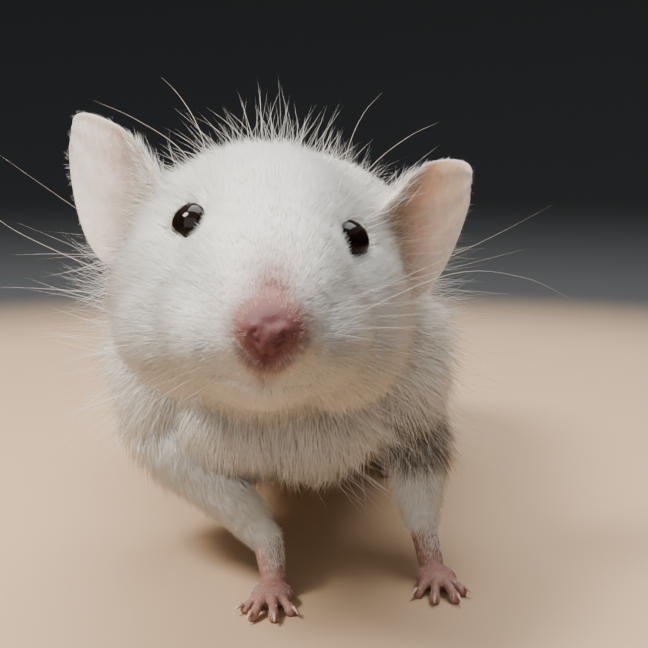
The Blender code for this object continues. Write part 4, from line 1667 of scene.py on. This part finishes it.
@dataclass
class CoatPiece:
    """One piece of the coat."""

    name: str
    style: TuftStyle
    seed: int
    patch: float = 0.003
    # No hair comes lower than this.
    floor: float = 0.05

    def hairs(self, tufts: Tufts) -> tuple[Array, ...]:
        """Every hair's spine and what it carries.

        A hair leaves its root along cos(lift) lie + sin(lift) normal, bows back by bend u^2, and its tip is
        drawn to the tuft's own.

        Args:
            tufts: the tufts that the hairs belong to.
        Returns:
            Spines as (hair, row, xyz), radii, tones, the tuft's number and the skin's direction at each hair.
        """
        rng, style = np.random.default_rng(self.seed), self.style
        count, total = len(tufts.roots), len(tufts.roots) * style.hairs
        tuft = np.repeat(np.arange(count), style.hairs)
        normal, lie = tufts.normals[tuft], tufts.lies[tuft]
        across = unit(np.cross(tufts.normals, tufts.lies))[tuft]
        length = (tufts.length * (1 + style.uneven * rng.uniform(-0.2, 0.15, count)))[tuft]
        length = length * rng.uniform(0.7, 1.12, total)
        lift = (tufts.lift + style.uneven * rng.normal(0, 0.05, count))[tuft]
        lift = np.maximum(lift + rng.normal(0, 0.5 * style.stray, total), 0.05)[:, None]
        swing = style.uneven * rng.normal(0, style.stray, count)[tuft]
        swing = swing + rng.normal(0, 0.8 * style.stray, total)
        reach, angle = np.sqrt(rng.uniform(0, 1, total)), rng.uniform(0, TURN, total)
        step = (style.spread * tufts.length)[tuft] * reach
        offset = (step * np.cos(angle))[:, None] * lie + (step * np.sin(angle))[:, None] * across
        base = tufts.roots[tuft] + offset - style.sink * normal
        flat = unit(lie + swing[:, None] * across)
        rows = len(style.profile)
        u = (np.arange(rows + 1) / rows)[None, :, None]
        forward = (u * np.cos(lift)[:, None]) * flat[:, None]
        rise = (u * np.sin(lift)[:, None] - style.bend * np.sin(lift)[:, None] * u**2) * normal[:, None]
        sway = rng.normal(0, 0.05, total)[:, None, None] * u**2 * across[:, None]
        spine = base[:, None] + length[:, None, None] * (forward + rise + sway)
        spine = spine - style.gather * u**1.5 * offset[:, None]
        tone = (0.4 + style.uneven * rng.normal(0, 0.16, count))[tuft] + rng.normal(0, 0.12, total)
        radius = tufts.radius[tuft] * rng.uniform(0.8, 1.2, total)
        return spine, radius, np.clip(tone, 0, 1), tuft, normal

    def build(self, tufts: Tufts) -> bpy.types.Object:
        """The piece as solid hairs: triangles round each spine, which end in a point.

        Args:
            tufts: the tufts that the hairs belong to.
        Returns:
            The piece.
        """
        carried = self.hairs(tufts)
        clear = clear_of_eyes(carried[0]) & (carried[0][..., 2].min(1) > self.floor)
        spine, radius, tone, tuft, normal = (rows[clear] for rows in carried)
        rng, count, rows = np.random.default_rng(self.seed + 1), len(spine), len(self.style.profile)
        along = unit(spine[:, -1] - spine[:, 0])
        side = unit(np.cross(along, normal) + 1e-6)
        up = np.cross(along, side)
        angle = rng.uniform(0, TURN, count)[:, None] + np.arange(3) * TURN / 3
        spokes = np.cos(angle)[..., None] * side[:, None] + np.sin(angle)[..., None] * up[:, None]
        widths = radius[:, None, None, None] * np.array(self.style.profile)[None, :, None, None]
        rings = spine[:, :-1, None] + widths * spokes[:, None]
        points = np.concatenate([rings.reshape(count, -1, 3), spine[:, -1:]], 1)
        each = 3 * rows + 1
        faces = hair_faces(rows)[None] + each * np.arange(count)[:, None, None]
        u = np.concatenate([np.repeat(np.arange(rows) / rows, 3), [1.0]])
        # At the patch's edge single hairs are grey or white, and a few within it are white.
        grey = grey_patch(tufts.roots)[tuft] + rng.normal(0, 0.24, count) > 0.5
        grey = grey * (rng.uniform(0, 1, count) < 0.82)
        pink = np.clip(blush(tufts.roots)[tuft] * rng.uniform(0.65, 1.15, count), 0, 1)
        values = {"tone": tone, "grey_patch": grey.astype(float), "blush": pink}
        values = {key: np.repeat(one, each) for key, one in values.items()} | {"along": np.tile(u, count)}
        made = make_object(self.name, points.reshape(-1, 3), faces.reshape(-1, 3), **values)
        # A tuft's hairs stand side by side in a small patch of the unwrap, at the place of the tuft's root.
        place = (np.arange(count) % self.style.hairs + 0.5) / self.style.hairs
        chart = np.stack([np.repeat(place, each), np.tile(u, count)], -1) * self.patch
        chart = chart + np.repeat(tufts.chart[tuft], each, axis=0) * (1 - self.patch)
        corners = chart[faces.reshape(-1)].astype(np.float32)
        made.data.uv_layers.new(name="OFBake").data.foreach_set("uv", corners.ravel())
        LOG.info("%s: %d tufts, %d hairs, %d triangles", self.name, len(tufts.roots), count, faces.size // 3)
        return dressed(made, FUR, Slot.COAT)


def clear_of_eyes(spine: Array) -> Array:
    """Which hairs keep out of both eyes.

    Args:
        spine: hairs as (hair, row, xyz).
    Returns:
        True for each hair whose points and middles all stay outside both balls.
    """
    clear = np.ones(len(spine), bool)
    near_radius, far_radius = EyePair.radius + 0.02, EyePair.radius + 0.05
    for side in Side:
        centre = HEAD.points(np.array(EYE_CENTRE) * side.mirror)
        reach = np.linalg.norm(spine - centre, axis=2)
        middle = np.linalg.norm(0.5 * (spine[:, 1:] + spine[:, :-1]) - centre, axis=2)
        clear &= (reach[:, 1:].min(1) > far_radius) & (middle.min(1) > near_radius)
        clear &= reach[:, 0] > near_radius
    return clear


def bare(points: Array) -> Array:
    """How bare the body's skin is, by distance from the nose pad, its groove and the lids.

    Args:
        points: the skin's points.
    Returns:
        1 where it is bare, 0 where the coat is full.
    """
    side, ahead, up = HEAD.local(points).T
    width = np.clip(1.5 + 0.6 * (up + 3.0), 0.35, 1.6)
    pad = from_oval([side, ahead, up], (0.0, 12.8, -3.2), (width, 1.6, 1.9))
    cleft = from_oval([side, ahead, up], (0.0, 12.4, -4.8), (0.35, 1.3, 1.3))
    bare_nose = np.maximum(1 - smooth_step(pad, 0.75, 1.45), 0.8 * (1 - smooth_step(cleft, 0.4, 1.2)))
    lid = from_oval([np.abs(side), ahead, up], EYE_CENTRE, (1.0, 1.0, 1.0))
    return np.maximum(bare_nose, 1 - smooth_step(lid, 1.62, 1.74))


@dataclass
class Ground:
    """The skin under a piece of coat, with what the coat is like at each point.

    Attributes:
        surface: the skin.
        share: how much of the full coat there is, from 0 to 1.
        lies: the lie.
        values: rows of length, depth, radius and cover.
        chart: the place on the unwrap.
    """

    surface: Surface
    share: Array
    lies: Array
    values: Array
    chart: Array


@dataclass
class Region:
    """One piece of the body's coat: the points it takes, its most triangles, and its unwrap's axis."""

    name: str
    mask: Array
    style: TuftStyle
    most: int
    middle: Array | Triple
    axis: Array | Triple


@dataclass
class Coat:
    """The whole coat: pieces of tufts rooted on the skin's surfaces."""

    body: Surface
    ears: dict[Side, Surface]
    feet: dict[str, Surface]
    tail: Surface
    ear_models: dict[Side, Ear]
    density: float = 1.0
    wave: float = 0.22

    def rooted(self, ground: Ground, style: TuftStyle, seed: int, most: int) -> Tufts:
        """Tufts sown evenly over a surface.

        A place takes cover / (length * hair width) hairs to the square millimetre, so that hairs overlap by
        the same number of layers everywhere.

        Args:
            ground: the skin to sow.
            style: the tufts' style.
            seed: for the random draws.
            most: the most triangles that the piece may have.
        Returns:
            The tufts.
        """
        rng = np.random.default_rng(seed)
        points, triangles = ground.surface.points, ground.surface.triangles
        length, _, radius, cover = ground.values.T
        fill = np.mean(style.profile) if len(style.profile) > 1 else 0.5
        density = ground.share * cover / (length * 2 * radius * fill * style.hairs) * self.density
        area = 0.5 * np.linalg.norm(facings(points, triangles), axis=1)
        wanted = area * density[triangles].mean(1)
        each = len(hair_faces(len(style.profile))) * style.hairs
        count = int(min(wanted.sum(), most * self.density / each))
        steps = (np.arange(count) + rng.uniform(0, 1, count)) / count
        pick = np.minimum(np.searchsorted(np.cumsum(wanted) / wanted.sum(), steps), len(wanted) - 1)
        a, b = rng.uniform(0, 1, (2, count))
        a, b = np.where(a + b > 1, 1 - a, a), np.where(a + b > 1, 1 - b, b)
        weights = np.stack([1 - a - b, a, b], -1)[..., None]

        def blended(rows: Array) -> Array:
            """Rows of the points, at the tufts' roots."""
            return (rows[triangles[pick]] * weights).sum(1)

        normals = unit(blended(ground.surface.normals()))
        lie, made = blended(ground.lies), blended(ground.values)
        lie = unit(lie - (lie * normals).sum(1, keepdims=True) * normals)
        rise = (made[:, 1] + style.sink) / (made[:, 0] * (1 - style.bend))
        lift = np.arcsin(np.clip(rise, 0.03, 0.97))
        return Tufts(blended(points), normals, lie, made[:, 0], lift, made[:, 2], blended(ground.chart))

    @staticmethod
    def wrapped(points: Array, middle: Array | Triple, axis: Array | Triple) -> Array:
        """The place of points on an unwrap: the turn about an axis and the distance along it.

        Args:
            points: the points.
            middle: a point on the axis.
            axis: its direction.
        Returns:
            Rows of two numbers from 0 to 1.
        """
        axis = unit(np.array(axis, float))
        side = unit(np.cross(axis, (0.3, 0.2, 0.93)))
        up = np.cross(side, axis)
        local = points - np.array(middle)
        turn = np.arctan2(local @ side, local @ up) / TURN + 0.5
        along = local @ axis
        return np.stack([turn, (along - along.min()) / max(np.ptp(along), 1e-6)], -1)

    def regions(self) -> list[Region]:
        """The body's pieces of coat, cut by planes through the head, the back and the legs.

        Returns:
            The regions, which don't overlap.
        """
        points = self.body.points
        side, ahead, up = HEAD.local(points).T
        x, y, z = points.T
        head = (points - (0, 10.5, 23)) @ (0, 0.885, -0.466) < 0
        front, low, behind = ahead > 1.5, up < -3.0, ahead <= -7
        legs = ~head & (y < 24) & (z < 10.5) & (np.abs(x - np.where(x > 0, 10.6, -5.5)) < 6)
        head_wrap, trunk_wrap = (HEAD.points((0, 0, -3)), HEAD.aims((0, 1, 0))), (TRUNK_MIDDLE, (0, 1, 0))
        made = []
        for word, part in (("left", side >= 0), ("right", side < 0)):
            back = head & ~front & part
            made += [
                Region(f"coat_muzzle_{word}", head & front & part, SHORT, 170_000, *head_wrap),
                Region(f"coat_brow_{word}", back & ~low & ~behind, SHORT, 70_000, *head_wrap),
                Region(f"coat_cheek_{word}", back & low & ~behind, SHORT, 70_000, *head_wrap),
                Region(f"coat_nape_{word}", head & part & behind, LONG, 60_000, *head_wrap),
            ]
        for word, part, leg_wrap in (
            ("left", x >= 0, ((10.6, 13, 7), (0, 0.4, 0.9))),
            ("right", x < 0, ((-5, 11.5, 7.5), (-0.65, 0.45, 0.6))),
        ):
            made += [
                Region(f"coat_breast_{word}", ~head & ~legs & (y < 21) & part, LONG, 130_000, *trunk_wrap),
                Region(f"coat_foreleg_{word}", legs & part, SHORT, 110_000, *leg_wrap),
                Region(f"coat_flank_{word}", ~head & (y >= 21) & (y < 46) & part, SLEEK, 96_000, *trunk_wrap),
                Region(f"coat_rump_{word}", ~head & (y >= 46) & part, SLEEK, 96_000, *trunk_wrap),
            ]
        return made

    def body_pieces(self) -> None:
        """Sows the body's regions, with the length varied by a soft wave."""
        points, triangles = self.body.points, self.body.triangles
        lies, values = LieOfCoat().at(points)
        values[:, 0] *= (1 + self.wave * np.sin(points @ (1.9, 2.3, 2.9))) ** 0.5
        share = 1 - bare(points)
        for number, region in enumerate(self.regions()):
            chart = np.zeros((len(points), 2))
            chart[region.mask] = self.wrapped(points[region.mask], region.middle, region.axis)
            part = Surface(points, triangles[region.mask[triangles].all(1)])
            ground = Ground(part, share, lies, values, chart)
            tufts = self.rooted(ground, region.style, 100 + number, region.most)
            CoatPiece(region.name, region.style, 200 + 2 * number).build(tufts)

    def wisps(self) -> None:
        """Long guard hairs that stand out of the coat at the crown, nape, temples, cheeks, neck and jaw."""
        points = self.body.points
        side, ahead, up = HEAD.local(points).T
        x, y, z = points.T
        lies, values = LieOfCoat().at(points)
        crown = bell(ahead, -10.5, 3.2) * smooth_step(up, 0.5, 3.0)
        nape = bell(y, 13, 5.0) * smooth_step(z, 22, 26)
        temple = np.exp(-((np.abs(side) - 6.3) ** 2 + (ahead + 3.6) ** 2 + (up - 1.0) ** 2) / 1.9**2)
        cheek = bell(ahead, -6.5, 3.2) * smooth_step(-up, 1.5, 4.0) * smooth_step(np.abs(side), 3, 6)
        neck = bell(y, 12, 5.0) * smooth_step(np.abs(x), 5.5, 8.5) * smooth_step(z, 8, 14)
        jaw = bell(up, -8.2, 1.6) * smooth_step(ahead, -3.0, 0.5) * smooth_step(-ahead, -8.5, -6.0)
        top, ruff = np.maximum(crown, nape), np.maximum(cheek, neck)
        rest = 0.04 * smooth_step(y, 16, 22) + 0.03 * smooth_step(y, 5, 10) + 0.4 * jaw
        share = 0.9 * np.maximum(crown, 0.8 * nape) + 0.9 * ruff + 0.8 * temple + rest
        share = smooth_step(z, 8.5, 12.0) * np.clip(share, 0, 1)
        aside = np.clip(side / 5.0, -1, 1)
        lean = np.stack([aside, np.full_like(side, -0.1), 0.1 + 0.3 * crown - 0.1 * cheek], -1)
        lies = unit(lies + (0.8 * crown + 1.3 * temple + 1.3 * ruff)[:, None] * HEAD.aims(lean))
        fall = np.stack([0.5 * aside, np.full_like(side, 0.1), np.full_like(side, -1.0)], -1)
        lies = unit(lies + 0.9 * jaw[:, None] * HEAD.aims(fall))
        stand = 26 + 34 * top + 30 * ruff + 4 * temple
        length = values[:, 0] * 1.1 + 2.0 + 1.6 * top + 2.2 * ruff + 1.6 * temple
        depth = length * np.sin(np.radians(stand)) * (1 - WISPS.bend)
        shaped = np.stack([length, depth, np.full_like(side, 0.0125), np.full_like(side, 0.55)], -1)
        chart = self.wrapped(points, TRUNK_MIDDLE, (0, 1, 0))
        part = Surface(points, self.body.triangles[share[self.body.triangles].mean(1) > 0.001])
        tufts = self.rooted(Ground(part, share, lies, shaped, chart), WISPS, 300, 110_000)
        CoatPiece("coat_guard_hairs", WISPS, 301).build(tufts)

    def ear_down(self) -> None:
        """The down on the ears: sparse on the leaf, thicker at the rim and thickest towards the root."""
        for number, (side, surface) in enumerate(self.ears.items()):
            model = self.ear_models[side]
            s, t, _ = model.coordinates(surface.points)
            axis, across, facing = (HEAD.aims(aim * side.mirror) for aim in model.directions())
            lies = unit(axis + np.clip(t, -1, 1)[:, None] * 0.8 * across)
            rim = smooth_step(np.maximum(np.abs(t), s), 0.75, 0.95)
            root = 1 - smooth_step(s, 0.02, 0.40)
            length, depth = 0.34 + 0.05 * rim + 2.0 * root, 0.05 + 0.02 * rim + 0.5 * root
            values = np.stack([length, depth, 0.008 + 0.005 * root, 0.2 + 0.06 * rim + 2.2 * root], -1)
            # The front takes one half of the unwrap and the back the other.
            back = surface.normals() @ facing < 0
            turn = np.clip((t + 1.2) / 2.4, 0, 1) * 0.5 + 0.5 * back
            chart = np.stack([turn, np.clip((s + 0.25) / 1.3, 0, 1)], -1)
            ground = Ground(surface, smooth_step(s, -0.18, -0.08), lies, values, chart)
            tufts = self.rooted(ground, DOWN, 400 + number, 24_000)
            CoatPiece(f"coat_ear_{side.word}", DOWN, 410 + 2 * number).build(tufts)

    def foot_down(self) -> None:
        """The down on the tops of the feet, which thickens up the leg."""
        for number, (name, surface) in enumerate(self.feet.items()):
            points = surface.points
            share = smooth_step(surface.normals()[:, 2], -0.1, 0.4)
            high = smooth_step(points[:, 2], 1.5, 4.0)
            length, depth, radius = 0.35 + 0.45 * high, 0.06 + 0.1 * high, 0.009 + 0.005 * high
            values = np.stack([length, depth, radius, 0.08 + 1.5 * high], -1)
            lies = np.broadcast_to((0.0, -0.9, -0.3), points.shape)
            chart = self.wrapped(points, points.mean(0), (0, 1, 0.1))
            tufts = self.rooted(Ground(surface, share, lies, values, chart), DOWN, 420 + number, 10_000)
            CoatPiece(f"coat_{name}", DOWN, 430 + 2 * number).build(tufts)

    def tail_down(self) -> None:
        """The down along the tail."""
        y = self.tail.points[:, 1]
        route = Tail().rows()
        aim = unit(np.gradient(route[:, :3], axis=0))
        lies = np.stack([np.interp(y, route[:, 1], aim[:, i]) for i in range(3)], -1)
        values = np.broadcast_to((0.7, 0.10, 0.012, 0.15), (len(y), 4))
        chart = self.wrapped(self.tail.points, (0, 100, 3), (0, 1, 0))
        tufts = self.rooted(Ground(self.tail, np.ones(len(y)), lies, values, chart), DOWN, 440, 26_000)
        CoatPiece("coat_tail", DOWN, 441).build(tufts)

    def build(self) -> None:
        """Every piece of the coat."""
        self.body_pieces()
        self.wisps()
        self.ear_down()
        self.foot_down()
        self.tail_down()


@dataclass
class Whiskers:
    """Whiskers on the pads in rows, with a few feelers over the eyes, on the cheeks and chin."""

    seed: int = 51
    rows: int = 5
    columns: int = 5
    reach: float = 19.5
    radius: float = 0.013
    feeler_radius: float = 0.022
    # Single feelers from root to tip, in the head's axes.
    feelers: tuple = (
        ((-3.4, 9.0, -3.4), (-9.0, 5.2, -2.9), (-16.0, -2.0, -2.6), (-19.4, -7.0, -2.4)),
        ((3.4, 9.0, -3.6), (11.3, 3.4, -0.9), (16.9, 0.0, -1.4), (21.0, -1.6, -3.0)),
        ((-4.2, 0.8, 2.0), (-6.4, -2.1, 4.2), (-9.6, -3.6, 5.6), (-12.4, -4.8, 6.3)),
        ((-3.9, 0.4, 2.4), (-5.2, -3.4, 5.2), (-6.8, -6.0, 7.0), (-8.4, -8.4, 8.0)),
        ((3.9, 0.6, 2.4), (4.6, -3.6, 5.2), (5.6, -6.6, 7.2), (7.0, -9.2, 8.6)),
        ((4.2, 0.2, 2.0), (6.4, -3.4, 4.4), (8.8, -5.6, 6.2), (11.0, -7.4, 7.2)),
    )

    def pad_rows(self, side: Side) -> list[Array]:
        """The rows on one pad: long and swept back at the rear, short at the front, each a gentle arc.

        A whisker's path is root + length * (u aim + u^2 sag).

        Args:
            side: which pad.
        Returns:
            Five points from root to tip for each whisker.
        """
        rng, made = np.random.default_rng(self.seed + side.value), []
        for row in range(self.rows):
            for column in range(self.columns - (row in (0, self.rows - 1))):
                share = column / (self.columns - 1)
                height = -2.4 - 0.95 * row - 0.5 * share
                root = np.array((2.2 + 1.7 * share - 0.12 * row, 10.6 - 4.2 * share, height))
                root = root + rng.normal(0, 0.12, 3)
                length = (7.0 + 12.5 * share) * rng.uniform(0.85, 1.15)
                rise = 0.42 - 0.26 * row + rng.normal(0, 0.08)
                aim = unit(np.array((1.0, 0.25 - 0.85 * share + rng.normal(0, 0.1), rise)))
                u = np.linspace(0, 1, 5)[:, None]
                sag = np.array((0.0, -0.22, -0.12 - 0.05 * row))
                path = root + length * (u * aim + u**2 * (sag + rng.normal(0, 0.05, 3)))
                path = root + (path - root) * min(1.0, (self.reach - root[0]) / (path[-1, 0] - root[0]))
                made.append(path * side.mirror)
        return made

    def build(self) -> bpy.types.Object:
        """All the whiskers as tapered solids: the radius falls from root to tip as 1 - 0.93 u^1.3.

        Returns:
            The piece.
        """
        hairs = Horns()
        paths = [(np.array(path), self.feeler_radius) for path in self.feelers]
        paths += [(path, self.radius) for side in Side for path in self.pad_rows(side)]
        for path, radius in paths:
            rows = smooth_rows(path, 6)
            u = np.linspace(0, 1, len(rows))
            hairs.grow(HEAD.points(rows), radius * (1 - 0.93 * u**1.3), 6)
        return dressed(hairs.piece("whiskers"), WHISKER_HORN, Slot.COAT)


# ---- Studio ----


@dataclass(frozen=True)
class SoftLight:
    """A square soft light aimed at a point, all in the mouse's millimetres."""

    name: str
    place: Triple
    size: float
    power: float
    colour: str = "#FFFFFF"
    target: Triple = (0.0, 5.0, 22.0)

    def build(self) -> bpy.types.Object:
        """Puts the light in the scene, turned to its target.

        Returns:
            The light.
        """
        data = bpy.data.lights.new(self.name, "AREA")
        data.size, data.energy, data.color = self.size * MM, self.power, linear(self.colour)[:3]
        light = linked(self.name, data)
        light.location = (np.array(self.place) + SHIFT) * MM
        aim = Vector(np.array(self.target) - self.place)
        light.rotation_euler = aim.to_track_quat("-Z", "Y").to_euler()
        return light


@dataclass(frozen=True)
class Studio:
    """Camera, lights and a round sweep: a floor that curves up into a wall on every side."""

    camera_place: Triple = (3.4, -80.1, 32.3)
    camera_tilt: float = 8.0
    lens: float = 68.9
    floor_radius: float = 0.62
    cove_radius: float = 0.34
    wall_height: float = 0.9
    columns: int = 128
    sky: str = "#F4F6FA"
    daylight: float = 0.36
    lights: tuple = (
        SoftLight("key_softbox", (-165.0, -75.0, 280.0), 100.0, 1.9, "#FFFAF2"),
        SoftLight("top_softbox", (20.0, 60.0, 310.0), 240.0, 1.4, "#FFFFFF"),
        SoftLight("front_softbox", (-120.0, -430.0, 150.0), 520.0, 1.5, "#FFFDF8"),
    )

    def sweep(self) -> bpy.types.Object:
        """The sweep: a profile of floor, quarter circle and wall carried round the middle.

        Returns:
            The sweep, which isn't part of the mouse.
        """
        angle = np.linspace(0, np.pi / 2, 24)
        far = self.floor_radius + self.cove_radius
        cove = self.floor_radius + self.cove_radius * np.sin(angle[1:])
        r = np.concatenate([np.linspace(0.001, 1, 24) * self.floor_radius, cove, [far]])
        z = np.concatenate([np.zeros(24), self.cove_radius * (1 - np.cos(angle[1:])), [self.wall_height]])
        around = np.linspace(0, TURN, self.columns, endpoint=False)
        height = np.repeat(z[:, None], self.columns, 1)
        rings = np.stack([r[:, None] * np.cos(around), r[:, None] * np.sin(around), height], -1)
        points, triangles = ring_solid(rings)
        # The solid's lid and its middle point are left off, and what is left faces inwards.
        mesh = make_mesh("studio_sweep", points[:-1], triangles[: -self.columns, ::-1])
        made = linked("studio_sweep", mesh)
        made.data.materials.append(SWEEP.material())
        return made

    def camera(self) -> bpy.types.Object:
        """The camera, level with the mouse's head and tilted down.

        Returns:
            The camera.
        """
        data = bpy.data.cameras.new("camera")
        data.lens, data.sensor_width, data.clip_start, data.clip_end = self.lens, 36.0, 0.005, 10.0
        camera = linked("camera", data)
        camera.location = (np.array(self.camera_place) + SHIFT) * MM
        camera.rotation_euler = (math.radians(90 - self.camera_tilt), 0, 0)
        bpy.context.scene.camera = camera
        return camera

    def build(self) -> None:
        """Sets up the sweep, lights, daylight and camera."""
        self.sweep()
        self.camera()
        for light in self.lights:
            light.build()
        world = bpy.data.worlds.new("daylight")
        world.use_nodes = True
        light = {"Color": linear(self.sky), "Strength": self.daylight}
        feed(world.node_tree, world.node_tree.nodes["Background"], light)
        bpy.context.scene.world = world


# Each digit's turn in degrees, its root ahead of the pad, its length and its radius.
FOREFOOT_DIGITS = (
    (-40.0, 0.0, 1.8, 0.42), (-13.0, 0.3, 2.4, 0.44), (13.0, 0.3, 2.4, 0.44), (42.0, 0.0, 1.9, 0.42),
)
HINDFOOT_DIGITS = (
    (-28.0, -1.8, 2.9, 0.56),
    (-11.0, 0.2, 4.3, 0.58),
    (0.0, 0.5, 4.7, 0.58),
    (11.0, 0.2, 4.3, 0.58),
    (28.0, -2.0, 3.0, 0.56),
)


def feet(body: Body) -> list[Foot]:
    """The four feet where the legs end.

    Args:
        body: the body, whose legs the feet end.
    Returns:
        The feet, fore before hind.
    """
    made = []
    for side, ball, turn, leg in (
        (Side.RIGHT, (-0.4, 4.7), -8.0, body.right_foreleg),
        (Side.LEFT, (11.8, 8.2), 6.0, body.left_foreleg),
    ):
        name, wrist = f"forefoot_{side.word}", (leg[-1][0], 1.0)
        made.append(Foot(name, side, ball, turn, 1.9, wrist, FOREFOOT_DIGITS, 0.13, heel_radius=0.95))
    for side in Side:
        (x, y, z), _ = body.left_hindleg[-1]
        ankle = ((side.value * x, y, z), 1.25)
        name, ball = f"hindfoot_{side.word}", (side.value * 10.2, 45.0)
        made.append(Foot(name, side, ball, side.value * 5.0, 11.0, ankle, HINDFOOT_DIGITS, 0.18))
    return made


def main() -> None:
    """Builds the studio, the skin, the eyes, the claws, the coat and the whiskers, in that order."""
    logging.basicConfig(level=logging.INFO, format="%(name)s %(relativeCreated)d ms: %(message)s")
    Studio().build()
    body = Body()
    trunk = body.build()
    LOG.info("body: %d triangles", len(trunk.triangles))
    ear_models = {
        Side.RIGHT: Ear(Side.RIGHT, (0.65, -0.73, 0.0), 12.9, 4.8, 1.5),
        Side.LEFT: Ear(Side.LEFT, (0.69, -0.73, 0.0), 13.0, 4.9, 0.95),
    }
    ears = {side: model.build() for side, model in ear_models.items()}
    foot_models = feet(body)
    foot_surfaces = {foot.name: foot.build() for foot in foot_models}
    tail = Tail().build()
    skin = Skin(trunk, ears, foot_surfaces, tail, ear_models).build()
    LOG.info("%s: %d triangles", skin.name, len(skin.data.polygons))
    for eye in EyePair().build():
        LOG.info("%s", eye.name)
    for foot in foot_models:
        LOG.info("%s", foot.claws().name)
    Coat(trunk, ears, foot_surfaces, tail, ear_models, density=1.0).build()
    LOG.info("%s", Whiskers().build().name)


if __name__ == "__main__":
    main()
